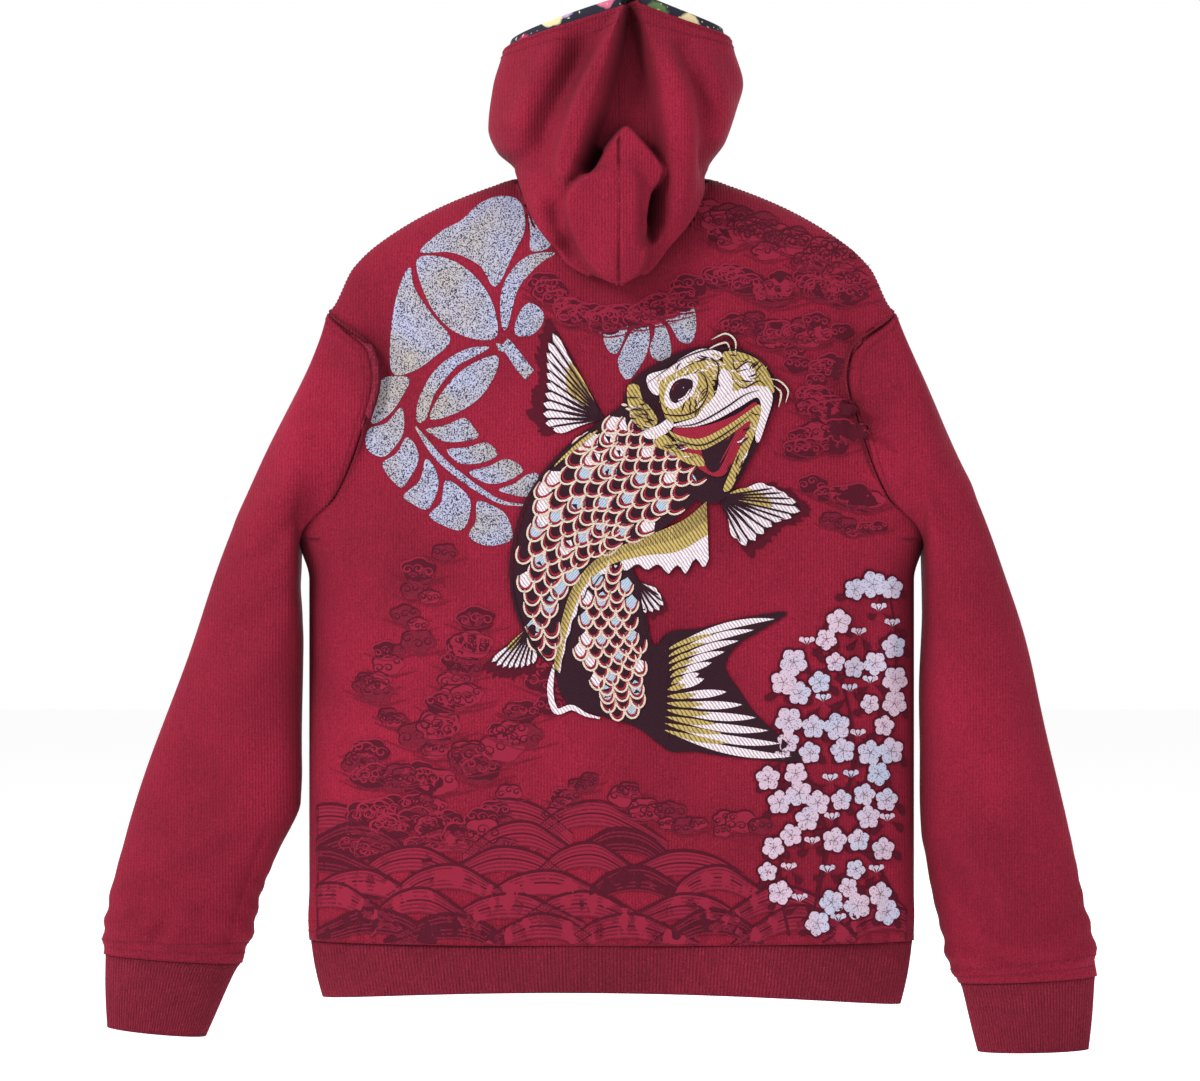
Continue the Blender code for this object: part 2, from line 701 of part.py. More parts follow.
def rectangle(left, right, foot, top, columns=6, rows=3):
    return [
        [(left + (right - left) * i / columns, foot + (top - foot) * j / rows) for i in range(columns + 1)]
        for j in range(rows + 1)
    ]


def ribbon(knots, columns=4, steps=3):
    """Rows of points across a curved strip, from a spine and its half widths."""
    count = (len(knots) - 1) * steps
    places = [i / steps for i in range(count + 1)]
    tracks = [[(i, value) for i, value in enumerate(values)] for values in (
        [knot[0][0] for knot in knots], [knot[0][1] for knot in knots], [knot[1] for knot in knots])]
    spine = [tuple(smooth_at(track, place) for track in tracks) for place in places]
    rows = []
    for i, (x, z, half) in enumerate(spine):
        ahead, behind = spine[min(i + 1, count)], spine[max(i - 1, 0)]
        run, rise = ahead[0] - behind[0], ahead[1] - behind[1]
        size = math.hypot(run, rise)
        rows.append([
            (x - rise / size * half * share, z + run / size * half * share)
            for share in [2 * j / columns - 1 for j in range(columns + 1)]
        ])
    return rows


def embroidery():
    """The carp: head and fins sewn on the cloth, the body over their roots."""
    base = REST_GAP
    over = base + EMBROIDERY + SEAM_GAP
    for name, knots, lift in (
        ("carp_tail_upper", TAIL_UPPER, base), ("carp_tail_lower", TAIL_LOWER, base),
        ("carp_upper_fin", UPPER_FIN, base), ("carp_right_fin", RIGHT_FIN, base),
        ("carp_left_fin", LEFT_FIN, base), ("carp_pelvic_fin", PELVIC_FIN, base),
        ("carp_head", HEAD, base), ("carp_body", BODY, over),
    ):
        patch(name, ribbon(knots), FACE_BACK, lift, EMBROIDERY, thread())


def sewn_pieces():
    """Pockets, neck tape and the two blank labels."""
    near, far, foot, top = POCKET
    for side, word in ((LEFT, "left"), (RIGHT, "right")):
        rows = []
        for x_row in rectangle(near, far, foot, top, 6, 6):
            height = (x_row[0][1] - foot) / (top - foot)
            reach = far - POCKET_MOUTH * ease((height - 0.3) / 0.7)
            rows.append([(side * (near + (x - near) * (reach - near) / (far - near)), z) for x, z in x_row])
        patch(f"pocket_{word}", rows, FACE_FRONT, REST_GAP, CLOTH, sweatshirt())
    half, foot, top = NECK_TAPE
    patch("neck_tape", rectangle(-half, half, foot, top), FACE_BACK, -INNER_GAP, TAPE, twill_tape())
    half, foot, top = SIZE_LABEL
    patch("size_label", rectangle(-half, half, foot, top, 3), FACE_BACK, -INNER_GAP, TAPE, label_satin())
    patch("care_label", rectangle(*CARE_LABEL, 3), FACE_BACK, -INNER_GAP, TAPE, label_satin())


def carry(name, place, pieces):
    """Hangs pieces that move together from an empty on their joint's axis."""
    pivot = bpy.data.objects.new(name, None)
    pivot.empty_display_size = PIVOT_SIZE
    pivot.location = place
    parts.objects.link(pivot)
    for piece in pieces:
        made = bpy.data.objects[piece]
        made.data.transform(Matrix.Translation(-pivot.location))
        made.parent = pivot


def joints():
    """One pivot for each sleeve, the hood, the slider and the pull."""
    for side, word in ((LEFT, "left"), (RIGHT, "right")):
        place = (side * SHOULDER_TIP[0], 0.0, SHOULDER_TIP[1])
        carry(f"{word}_shoulder", place, (f"{word}_sleeve", f"{word}_cuff"))
    panels = [f"hood_{piece}" for piece in ("left_panel", "right_panel", "lining_left", "lining_right")]
    carry("hood_foot", (0.0, *HOOD_AXIS), panels)
    carry("zip_slide", (0.0, teeth_span()[0], slider_middle()), ("zip_slider",))
    carry("pull_swing", (0.0, *pull_axis()), ("zip_pull",))


def main():
    reset_scene()
    torso()
    sleeve(LEFT, LEFT_SLEEVE, LEFT_CUFF_END)
    sleeve(RIGHT, RIGHT_SLEEVE, RIGHT_CUFF_END)
    hood()
    collar()
    zip_fastener()
    zip_slider()
    zip_pull()
    embroidery()
    sewn_pieces()
    joints()


main()
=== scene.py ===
"""Visual model of a crimson hooded zip sweatshirt with an embroidered carp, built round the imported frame.

The frame gives the places and the bodies that move. Each sub-assembly below is a class with its sizes as
fields; each finish is a small frozen class named for the real material. Metres, +Z up, back towards -Y.
"""

from __future__ import annotations

import json
import logging
import math
import random
from dataclasses import dataclass, field
from enum import Enum
from typing import Iterable, Sequence

import bpy
import numpy as np
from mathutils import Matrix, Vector
from mathutils.bvhtree import BVHTree
from mathutils.geometry import delaunay_2d_cdt

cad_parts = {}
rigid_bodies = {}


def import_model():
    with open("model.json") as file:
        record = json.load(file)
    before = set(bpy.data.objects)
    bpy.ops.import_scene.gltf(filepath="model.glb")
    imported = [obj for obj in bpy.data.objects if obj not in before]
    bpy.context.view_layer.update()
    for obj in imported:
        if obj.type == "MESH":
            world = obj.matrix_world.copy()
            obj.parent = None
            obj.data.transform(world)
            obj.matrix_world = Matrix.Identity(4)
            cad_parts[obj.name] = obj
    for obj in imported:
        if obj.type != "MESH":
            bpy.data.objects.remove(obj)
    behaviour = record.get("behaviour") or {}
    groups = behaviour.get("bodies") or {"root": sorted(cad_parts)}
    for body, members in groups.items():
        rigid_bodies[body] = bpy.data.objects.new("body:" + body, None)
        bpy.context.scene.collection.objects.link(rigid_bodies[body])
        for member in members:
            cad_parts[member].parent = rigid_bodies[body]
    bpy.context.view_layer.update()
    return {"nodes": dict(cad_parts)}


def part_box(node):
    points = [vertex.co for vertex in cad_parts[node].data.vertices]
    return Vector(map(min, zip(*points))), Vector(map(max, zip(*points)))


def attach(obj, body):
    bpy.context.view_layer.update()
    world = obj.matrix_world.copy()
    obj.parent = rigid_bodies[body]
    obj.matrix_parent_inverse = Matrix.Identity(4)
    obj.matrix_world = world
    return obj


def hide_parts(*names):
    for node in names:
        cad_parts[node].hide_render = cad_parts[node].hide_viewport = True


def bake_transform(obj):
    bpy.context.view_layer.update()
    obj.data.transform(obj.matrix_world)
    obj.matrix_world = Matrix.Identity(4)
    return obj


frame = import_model()

log = logging.getLogger("sweatshirt")
MM = 0.001
Point2 = tuple[float, float]
Array = np.ndarray

TORSO, HOOD, SLIDER, PULL = "torso", "hood_body", "slider_body", "pull_body"


class Side(Enum):
    """A side of the garment as its back is seen."""

    LEFT = -1
    RIGHT = 1

    @property
    def word(self) -> str:
        """The side's name in piece names."""
        return self.name.lower()

    @property
    def sleeve_body(self) -> str:
        """The body that this side's sleeve rides on."""
        return f"{self.word}_sleeve_body"


class Face(Enum):
    """Which way a body panel looks, as the sign of Y."""

    BACK = -1
    FRONT = 1


# ------------------------------------------------------------------ nodes and finishes


# divides a wave texture's scale, so that a light and a dark band together span about two widths
BAND_TURN = 6.283


def band_scale(width: float) -> float:
    """Returns the scale that gives a wave texture bands of a width in metres."""
    return 1 / width / BAND_TURN


def linear(code: str) -> tuple[float, float, float, float]:
    """Turns an sRGB hex colour into the linear colour that the shaders take.

    Args:
        code: six hex digits, with or without a leading hash.

    Returns:
        Red, green, blue and an alpha of 1.
    """
    digits = code.lstrip("#")
    values = [int(digits[i : i + 2], 16) / 255 for i in (0, 2, 4)]
    red, green, blue = (v / 12.92 if v <= 0.04045 else ((v + 0.055) / 1.055) ** 2.4 for v in values)
    return red, green, blue, 1.0


def add_node(tree: bpy.types.NodeTree, kind: str, inputs: dict | None = None, **settings) -> bpy.types.Node:
    """Adds a shader node with its settings, values and links.

    Args:
        tree: the material's node tree.
        kind: the node's type name.
        inputs: socket name or number to a plain value, or to the output socket that feeds it.
        settings: the node's own properties.

    Returns:
        The new node.
    """
    made = tree.nodes.new(kind)
    for name, value in settings.items():
        setattr(made, name, value)
    for key, value in (inputs or {}).items():
        if isinstance(value, bpy.types.NodeSocket):
            tree.links.new(value, made.inputs[key])
        else:
            made.inputs[key].default_value = value
    return made


def ramp(tree: bpy.types.NodeTree, factor: bpy.types.NodeSocket, stops: Sequence[tuple[float, str]],
        hard: bool = False) -> bpy.types.NodeSocket:
    """Maps a factor to colours.

    Args:
        tree: the material's node tree.
        factor: the socket that drives the ramp.
        stops: places and hex colours.
        hard: whether the colours meet in a hard edge.

    Returns:
        The ramp's colour socket.
    """
    made = add_node(tree, "ShaderNodeValToRGB", {"Fac": factor})
    band = made.color_ramp
    band.interpolation = "CONSTANT" if hard else "LINEAR"
    while len(band.elements) < len(stops):
        band.elements.new(0.5)
    for element, (place, code) in zip(band.elements, stops):
        element.position = place
        element.color = linear(code)
    return made.outputs["Color"]


@dataclass(frozen=True)
class Finish:
    """A real material's look; each kind below says what it gives the eye.

    Attributes:
        name: the finish's name in the file.
        slot: the record's material slot; not used.
        colour: base colour as sRGB hex.
        roughness: how matt it is.
    """

    name: str
    slot: str
    colour: str
    roughness: float = 0.9

    def material(self) -> bpy.types.Material:
        """Returns the finish's material, made once."""
        found = bpy.data.materials.get(self.name)
        if found:
            return found
        made = bpy.data.materials.new(self.name)
        made.use_nodes = True
        shader = made.node_tree.nodes["Principled BSDF"]
        shader.inputs["Roughness"].default_value = self.roughness
        shader.inputs["Base Color"].default_value = linear(self.colour)
        made.diffuse_color = linear(self.colour)
        self.dress(made.node_tree, shader)
        return made

    def dress(self, tree: bpy.types.NodeTree, shader: bpy.types.Node) -> None:
        """Adds the finish's own detail; a plain finish has none."""

    def place(self, tree: bpy.types.NodeTree) -> bpy.types.NodeSocket:
        """Returns the object's own coordinates, in metres."""
        return add_node(tree, "ShaderNodeTexCoord").outputs["Object"]

    def bump(self, tree: bpy.types.NodeTree, shader: bpy.types.Node, height: bpy.types.NodeSocket,
            distance: float, strength: float = 1.0) -> None:
        """Feeds a height to the shader's normal, distance in metres."""
        made = add_node(tree, "ShaderNodeBump",
            {"Height": height, "Distance": distance, "Strength": strength})
        tree.links.new(made.outputs["Normal"], shader.inputs["Normal"])


@dataclass(frozen=True)
class BrushedFleece(Finish):
    """Cotton sweatshirt knit, pigment dyed and washed: a soft matt face with fine heathered fuzz and pilling.

    Attributes:
        light: the colour of worn high spots.
        dark: the colour between the fibres.
        fuzz: size of the fibre clumps in millimetres.
    """

    light: str = "#B03050"
    dark: str = "#7A1A30"
    fuzz: float = 1.1

    def dress(self, tree: bpy.types.NodeTree, shader: bpy.types.Node) -> None:
        """Heathered fuzz, faint vertical wales, slow dye variation and painted shade in the hollows."""
        place = self.place(tree)
        fibre = add_node(tree, "ShaderNodeTexNoise",
            {"Vector": place, "Scale": 1 / (self.fuzz * MM), "Detail": 3.0, "Roughness": 0.65})
        slow = add_node(tree, "ShaderNodeTexNoise",
            {"Vector": place, "Scale": 7.0, "Detail": 4.0, "Roughness": 0.6})
        shade = ramp(tree, fibre.outputs["Fac"],
            ((0.3, self.dark), (0.52, self.colour), (0.74, self.light)))
        worn = ramp(tree, slow.outputs["Fac"], ((0.32, "#D6D6D6"), (0.68, "#FFFFFF")))
        mixed = add_node(tree, "ShaderNodeMix", {0: 1.0, 6: shade, 7: worn}, data_type="RGBA",
            blend_type="MULTIPLY")
        # painted shade: ambient occlusion darkens the colour towards #4C0A18 in creases and hollows
        hollow = add_node(tree, "ShaderNodeAmbientOcclusion", {"Color": mixed.outputs[2], "Distance": 0.05})
        deep = add_node(tree, "ShaderNodeMath", {0: hollow.outputs["AO"], 1: 1.6}, operation="POWER")
        shaded = add_node(tree, "ShaderNodeMix",
            {0: deep.outputs[0], 6: linear("#4C0A18"), 7: mixed.outputs[2]}, data_type="RGBA")
        tree.links.new(shaded.outputs[2], shader.inputs["Base Color"])
        wales = add_node(tree, "ShaderNodeTexWave",
            {"Vector": place, "Scale": band_scale(1.3 * MM), "Distortion": 1.5, "Detail": 1.0,
                "Detail Scale": 1.0}, bands_direction="X")
        height = add_node(tree, "ShaderNodeMath", {0: fibre.outputs["Fac"], 1: wales.outputs["Fac"]},
            operation="ADD")
        self.bump(tree, shader, height.outputs[0], 0.4 * MM, 0.9)
        shader.inputs["Sheen Weight"].default_value = 0.06
        shader.inputs["Sheen Roughness"].default_value = 0.5
        shader.inputs["Sheen Tint"].default_value = linear("#C8506C")
        shader.inputs["Specular IOR Level"].default_value = 0.2


@dataclass(frozen=True)
class SpeckledPrint(Finish):
    """Water-based screen print on knit: pale ink broken by the dark fibres, as a salt-and-pepper grain.

    Attributes:
        speck: the colour that shows through.
        stain: a second, slower tint of the ink.
        grain: size of the specks in millimetres.
        cover: share of the grain's range that is ink.
    """

    speck: str = "#2B2440"
    stain: str = "#B4ACA8"
    grain: float = 1.25
    cover: float = 0.47

    def dress(self, tree: bpy.types.NodeTree, shader: bpy.types.Node) -> None:
        """Specks, with slow patches of a warmer tint."""
        place = self.place(tree)
        specks = add_node(tree, "ShaderNodeTexNoise",
            {"Vector": place, "Scale": 1 / (self.grain * MM), "Detail": 2.0, "Roughness": 0.7})
        slow = add_node(tree, "ShaderNodeTexNoise", {"Vector": place, "Scale": 18.0, "Detail": 2.0})
        ink = ramp(tree, slow.outputs["Fac"], ((0.42, self.colour), (0.66, self.stain)))
        cover = add_node(tree, "ShaderNodeMapRange",
            {0: specks.outputs["Fac"], 1: self.cover - 0.035, 2: self.cover + 0.035})
        mixed = add_node(tree, "ShaderNodeMix", {0: cover.outputs[0], 6: linear(self.speck), 7: ink},
            data_type="RGBA")
        tree.links.new(mixed.outputs[2], shader.inputs["Base Color"])
        self.bump(tree, shader, specks.outputs["Fac"], 0.2 * MM, 0.6)
        shader.inputs["Specular IOR Level"].default_value = 0.25


@dataclass(frozen=True)
class StitchedThread(Finish):
    """Rayon embroidery thread laid side by side: fine glossy lines, 0.4 mm thread drawn at about 1 mm.

    Attributes:
        shade: the colour in the gaps between the threads, a painted shade in the grooves.
        pitch: distance between drawn threads in millimetres.
        lean: angle of the threads in degrees.
    """

    shade: str = "#8A8070"
    pitch: float = 0.9
    lean: float = 35.0

    def dress(self, tree: bpy.types.NodeTree, shader: bpy.types.Node) -> None:
        """Leaning thread lines with a little change from stitch to stitch; the gaps between the lines get the
        painted shade colour.
        """
        place = self.place(tree)
        turned = add_node(tree, "ShaderNodeMapping",
            {"Vector": place, "Rotation": (0.0, math.radians(self.lean), 0.0)})
        lines = add_node(
            tree, "ShaderNodeTexWave",
            {"Vector": turned.outputs[0], "Scale": band_scale(self.pitch * MM), "Distortion": 2.5,
                "Detail": 2.0, "Detail Scale": 1.6},
            bands_direction="X",
        )
        stitch = add_node(tree, "ShaderNodeTexNoise", {"Vector": place, "Scale": 420.0, "Detail": 2.0})
        both = add_node(tree, "ShaderNodeMath", {0: lines.outputs["Fac"], 1: stitch.outputs["Fac"]},
            operation="MULTIPLY_ADD")
        both.inputs[2].default_value = 0.15
        # painted shade: the troughs between the thread lines take the darker shade colour
        colour = ramp(tree, both.outputs[0], ((0.12, self.shade), (0.42, self.colour)))
        tree.links.new(colour, shader.inputs["Base Color"])
        self.bump(tree, shader, lines.outputs["Fac"], 0.3 * MM, 0.7)
        shader.inputs["Sheen Weight"].default_value = 0.02
        shader.inputs["Specular IOR Level"].default_value = 0.22


@dataclass(frozen=True)
class FlatInk(Finish):
    """Discharge print: dark dye in the cloth itself, so the knit's fuzz still breaks it up.

    Attributes:
        cloth: the cloth's colour, which shows in the worn spots.
        cover: how much of the cloth the dye hides, from 0 to 1.
    """

    cloth: str = "#8F2039"
    cover: float = 0.75

    def dress(self, tree: bpy.types.NodeTree, shader: bpy.types.Node) -> None:
        """Dye over cloth, thinner where the fibres stand."""
        place = self.place(tree)
        fibre = add_node(tree, "ShaderNodeTexNoise",
            {"Vector": place, "Scale": 1 / (1.2 * MM), "Detail": 3.0, "Roughness": 0.7})
        thin = add_node(tree, "ShaderNodeMapRange",
            {0: fibre.outputs["Fac"], 1: self.cover - 0.18, 2: self.cover + 0.12})
        mixed = add_node(tree, "ShaderNodeMix",
            {0: thin.outputs[0], 6: linear(self.colour), 7: linear(self.cloth)}, data_type="RGBA")
        tree.links.new(mixed.outputs[2], shader.inputs["Base Color"])
        self.bump(tree, shader, fibre.outputs["Fac"], 0.3 * MM, 0.7)
        shader.inputs["Sheen Weight"].default_value = 0.04
        shader.inputs["Sheen Tint"].default_value = linear("#C06078")
        shader.inputs["Specular IOR Level"].default_value = 0.2


@dataclass(frozen=True)
class FloralCotton(Finish):
    """Printed cotton voile: scattered blossoms in cream, magenta and lilac on navy, on a fine plain weave."""

    def dress(self, tree: bpy.types.NodeTree, shader: bpy.types.Node) -> None:
        """Blossom-sized cells, each in its own colour, over a navy ground, with a fine weave."""
        place = self.place(tree)
        wobble = add_node(tree, "ShaderNodeTexNoise", {"Vector": place, "Scale": 70.0, "Detail": 3.0})
        moved = add_node(tree, "ShaderNodeVectorMath",
            {0: wobble.outputs["Color"], 1: (0.014, 0.014, 0.014)}, operation="MULTIPLY")
        shifted = add_node(tree, "ShaderNodeVectorMath", {0: place, 1: moved.outputs[0]}, operation="ADD")
        cells = add_node(tree, "ShaderNodeTexVoronoi", {"Vector": shifted.outputs[0], "Scale": 42.0})
        small = add_node(tree, "ShaderNodeTexVoronoi", {"Vector": shifted.outputs[0], "Scale": 190.0})
        pick = add_node(tree, "ShaderNodeSeparateColor", {"Color": cells.outputs["Color"]})
        petals = ramp(
            tree, pick.outputs[0],
            ((0.0, "#E9D9A8"), (0.17, "#D8B24E"), (0.3, "#C22C66"), (0.46, "#B9A3C4"), (0.6, "#E8E0DC"),
             (0.74, "#5E7A46"), (0.86, "#D86C8C")), hard=True,
        )
        shape = add_node(tree, "ShaderNodeMapRange", {0: cells.outputs["Distance"], 1: 0.42, 2: 0.5})
        ground = add_node(tree, "ShaderNodeMix",
            {0: shape.outputs[0], 6: petals, 7: linear(self.colour)}, data_type="RGBA")
        fleck = add_node(tree, "ShaderNodeMapRange", {0: small.outputs["Distance"], 1: 0.1, 2: 0.22})
        mixed = add_node(tree, "ShaderNodeMix",
            {0: fleck.outputs[0], 6: linear("#DCD2A0"), 7: ground.outputs[2]}, data_type="RGBA")
        tree.links.new(mixed.outputs[2], shader.inputs["Base Color"])
        weave = add_node(tree, "ShaderNodeTexWave",
            {"Vector": place, "Scale": band_scale(0.9 * MM), "Distortion": 0.6}, bands_direction="DIAGONAL")
        self.bump(tree, shader, weave.outputs["Fac"], 0.15 * MM, 0.5)


@dataclass(frozen=True)
class TwillWeave(Finish):
    """Woven twill tape: fine diagonal ribs, 1 mm apart, with a slight lustre."""

    def dress(self, tree: bpy.types.NodeTree, shader: bpy.types.Node) -> None:
        """Diagonal ribs, with painted shade darkening the furrows between them."""
        place = self.place(tree)
        ribs = add_node(tree, "ShaderNodeTexWave",
            {"Vector": place, "Scale": band_scale(1.0 * MM), "Distortion": 0.3}, bands_direction="DIAGONAL")
        # painted shade: the furrows between the ribs are coloured darker
        colour = ramp(tree, ribs.outputs["Fac"], ((0.1, "#3E0D18"), (0.7, self.colour)))
        tree.links.new(colour, shader.inputs["Base Color"])
        self.bump(tree, shader, ribs.outputs["Fac"], 0.25 * MM, 0.7)


@dataclass(frozen=True)
class SatinLabel(Finish):
    """Blank woven satin: smooth, pale, with a soft lustre along fine warp threads."""

    def dress(self, tree: bpy.types.NodeTree, shader: bpy.types.Node) -> None:
        """Fine warp lines, with painted shade darkening the gaps between them."""
        warp = add_node(tree, "ShaderNodeTexWave",
            {"Vector": self.place(tree), "Scale": band_scale(0.8 * MM), "Distortion": 0.4},
            bands_direction="X")
        # painted shade: the gaps between the warp lines are coloured darker
        colour = ramp(tree, warp.outputs["Fac"], ((0.0, "#BDB8AE"), (0.6, self.colour)))
        tree.links.new(colour, shader.inputs["Base Color"])
        self.bump(tree, shader, warp.outputs["Fac"], 0.1 * MM, 0.5)


@dataclass(frozen=True)
class AntiqueBrass(Finish):
    """Die-cast zip metal, antiqued: dull brass, brighter where it rubs and brown in its recesses."""

    def dress(self, tree: bpy.types.NodeTree, shader: bpy.types.Node) -> None:
        """Tarnish patches that change colour and gloss together."""
        tarnish = add_node(tree, "ShaderNodeTexNoise",
            {"Vector": self.place(tree), "Scale": 600.0, "Detail": 4.0})
        colour = ramp(tree, tarnish.outputs["Fac"],
            ((0.3, "#6A5738"), (0.6, self.colour), (0.8, "#CDB684")))
        tree.links.new(colour, shader.inputs["Base Color"])
        gloss = add_node(tree, "ShaderNodeMapRange", {0: tarnish.outputs["Fac"], 3: 0.52, 4: 0.28})
        tree.links.new(gloss.outputs[0], shader.inputs["Roughness"])
        shader.inputs["Metallic"].default_value = 1.0
        self.bump(tree, shader, tarnish.outputs["Fac"], 0.05 * MM, 0.4)


FLEECE = BrushedFleece("crimson_sweatshirt_fleece", "sweatshirt_fleece", "#981A36", light="#B52E4C",
    dark="#6E1025")
FLEECE_INSIDE = BrushedFleece("crimson_fleece_inside", "sweatshirt_fleece", "#8B2038", light="#B4405C",
    dark="#6A1528", fuzz=2.2)
RIB = BrushedFleece("crimson_rib_knit", "rib_knit", "#8A1E35", light="#A83450", dark="#641225", fuzz=1.3)
LINING = FloralCotton("floral_cotton_lining", "floral_lining", "#1B1C30", 0.85)
SEAM_THREAD = StitchedThread("crimson_seam_thread", "sweatshirt_fleece", "#8E1F38", 0.6, shade="#4E0F1E",
    pitch=0.7)
TAPE = TwillWeave("crimson_twill_tape", "twill_tape", "#6E1729", 0.8)
LABEL = SatinLabel("blank_satin_label", "label_satin", "#E4DFD6", 0.5)
BRASS = AntiqueBrass("antique_brass", "zip_brass", "#A48C5C", 0.4)


# ------------------------------------------------------------------ curves and relief


class SmoothCurve:
    """A curve without overshoot through rising places and their values, read at many places at once."""

    def __init__(self, knots: Sequence[Sequence[float]]) -> None:
        """Args: knots: rows of (place, value) in rising order."""
        self.x, self.y = np.array(knots, float).T
        rise = np.diff(self.y) / np.diff(self.x)
        slope = np.zeros_like(self.y)
        same = rise[:-1] * rise[1:] > 0
        slope[1:-1][same] = 2 * rise[:-1][same] * rise[1:][same] / (rise[:-1][same] + rise[1:][same])
        slope[0], slope[-1] = rise[0] * self.open_ends, rise[-1] * self.open_ends
        self.slope = slope

    open_ends = 0.0

    def __call__(self, place: Array | float) -> Array:
        """Returns the values at the places."""
        place = np.clip(place, self.x[0], self.x[-1])
        i = np.clip(np.searchsorted(self.x, place, side="right") - 1, 0, len(self.x) - 2)
        width = self.x[i + 1] - self.x[i]
        t = (place - self.x[i]) / width
        return (
            self.y[i] * (1 + 2 * t) * (1 - t) ** 2
            + self.slope[i] * width * t * (1 - t) ** 2
            + self.y[i + 1] * t * t * (3 - 2 * t)
            + self.slope[i + 1] * width * t * t * (t - 1)
        )


class OpenCurve(SmoothCurve):
    """A smooth curve that keeps its slope at its ends."""

    open_ends = 1.0


def ease(share: Array | float) -> Array:
    """0 to 1 with a soft start and end."""
    share = np.clip(share, 0.0, 1.0)
    return share * share * (3 - 2 * share)


def smooth_path(points: Sequence[Point2], step: float, closed: bool = False) -> Array:
    """Rounds a chain of points into a smooth path.

    Args:
        points: the chain's points.
        step: distance between the path's points.
        closed: whether it comes back to its start.

    Returns:
        The path's points, one row each.
    """
    chain = np.array(points, float)
    if closed:
        chain = np.vstack([chain[-1], chain, chain[:2]])
    else:
        chain = np.vstack([2 * chain[0] - chain[1], chain, 2 * chain[-1] - chain[-2]])
    found = []
    for a, b, c, d in zip(chain, chain[1:], chain[2:], chain[3:]):
        count = max(2, int(np.linalg.norm(c - b) / step + 0.5))
        t = np.arange(count)[:, None] / count
        found.append(0.5 * (2 * b + (c - a) * t + (2 * a - 5 * b + 4 * c - d) * t**2
            + (3 * b - a - 3 * c + d) * t**3))
    path = np.vstack(found)
    return path if closed else np.vstack([path, chain[-2]])


def lengths_along(line: Array) -> Array:
    """Returns how far along a line each of its points is."""
    return np.concatenate([[0], np.cumsum(np.linalg.norm(np.diff(line, axis=0), axis=1))])


def left_of(ahead: Array) -> Array:
    """Returns flat directions turned a quarter to the left."""
    return np.stack([-ahead[:, 1], ahead[:, 0]], axis=1)


@dataclass
class Fold:
    """A ridge or a valley in cloth, along a path seen from the front or the back.

    Attributes:
        path: its points across and up.
        height: how far it stands out; a valley's is negative.
        width: its half width.
        fade: share of its length over which each end dies away.
        skew: above 0 it is steeper on the right of its path, below 0 on the left.
    """

    path: Sequence[Point2]
    height: float
    width: float
    fade: float = 0.3
    skew: float = 0.0

    def relief(self, x: Array, z: Array) -> Array:
        """Returns how far the fold lifts the cloth at each place."""
        line = smooth_path(self.path, self.width / 2)
        lengths = np.linalg.norm(np.diff(line, axis=0), axis=1)
        along = np.concatenate([[0], np.cumsum(lengths)]) / lengths.sum()
        best = np.full(np.shape(x), 1e9)
        share = np.zeros(np.shape(x))
        side = np.zeros(np.shape(x))
        for (ax, az), (bx, bz), start, end in zip(line, line[1:], along, along[1:]):
            dx, dz = bx - ax, bz - az
            t = np.clip(((x - ax) * dx + (z - az) * dz) / (dx * dx + dz * dz), 0, 1)
            off_x, off_z = x - ax - t * dx, z - az - t * dz
            gap = np.hypot(off_x, off_z)
            near = gap < best
            best = np.where(near, gap, best)
            share = np.where(near, start + t * (end - start), share)
            side = np.where(near, np.sign(off_x * -dz + off_z * dx), side)
        width = self.width * (1 + self.skew * side)
        ends = ease(share / self.fade) * ease((1 - share) / self.fade) if self.fade else 1.0
        return self.height * np.exp(-((best / width) ** 2)) * ends


@dataclass
class Lobe:
    """A part of the cloth that stands out from, or sinks behind, what is round it.

    Attributes:
        rim: points round its outline.
        height: how far it stands out; a hollow's is negative.
        soft: width of its sloping rim.
    """

    rim: Sequence[Point2]
    height: float
    soft: float

    def relief(self, x: Array, z: Array) -> Array:
        """Returns how far the lobe lifts the cloth at each place."""
        line = smooth_path(self.rim, 4 * MM, True)
        gap = np.full(np.shape(x), 1e9)
        inside = np.zeros(np.shape(x), bool)
        for (ax, az), (bx, bz) in zip(line, np.roll(line, -1, axis=0)):
            dx, dz = bx - ax, bz - az
            t = np.clip(((x - ax) * dx + (z - az) * dz) / (dx * dx + dz * dz), 0, 1)
            gap = np.minimum(gap, np.hypot(x - ax - t * dx, z - az - t * dz))
            crosses = (az > z) != (bz > z)
            inside ^= crosses & (x < ax + dx * (z - az) / (dz if abs(dz) > 1e-12 else 1e-12))
        return self.height * ease(0.5 + np.where(inside, gap, -gap) / self.soft)


def relief_of(folds: Iterable[Fold | Lobe], x: Array, z: Array) -> Array:
    """Returns the sum of the folds at each place."""
    total = np.zeros(np.shape(x))
    for fold in folds:
        total = total + fold.relief(x, z)
    return total


# ------------------------------------------------------------------ meshes


def link(made: bpy.types.Object, finish: Finish) -> bpy.types.Object:
    """Puts an object in the scene with its finish."""
    bpy.context.scene.collection.objects.link(made)
    if made.type in {"MESH", "CURVE"}:
        made.data.materials.clear()
        made.data.materials.append(finish.material())
    return made


def mesh_object(name: str, points: Array, faces: Sequence[Sequence[int]],
        finish: Finish) -> bpy.types.Object:
    """Makes a smooth mesh object.

    Args:
        name: the piece's name.
        points: its vertices, one row each.
        faces: its faces as vertex numbers.
        finish: its finish.

    Returns:
        The new object.
    """
    mesh = bpy.data.meshes.new(name)
    mesh.from_pydata([tuple(p) for p in points], [], [tuple(f) for f in faces])
    mesh.validate()
    mesh.shade_smooth()
    return link(bpy.data.objects.new(name, mesh), finish)


def grid_faces(rows: int, columns: int, closed: bool = False,
        start: int = 0) -> list[tuple[int, int, int, int]]:
    """Returns the quads of a grid whose points are numbered row by row from start."""
    faces = []
    for i in range(rows - 1):
        for j in range(columns if closed else columns - 1):
            k = (j + 1) % columns
            low, high = start + i * columns, start + (i + 1) * columns
            faces.append((low + j, low + k, high + k, high + j))
    return faces


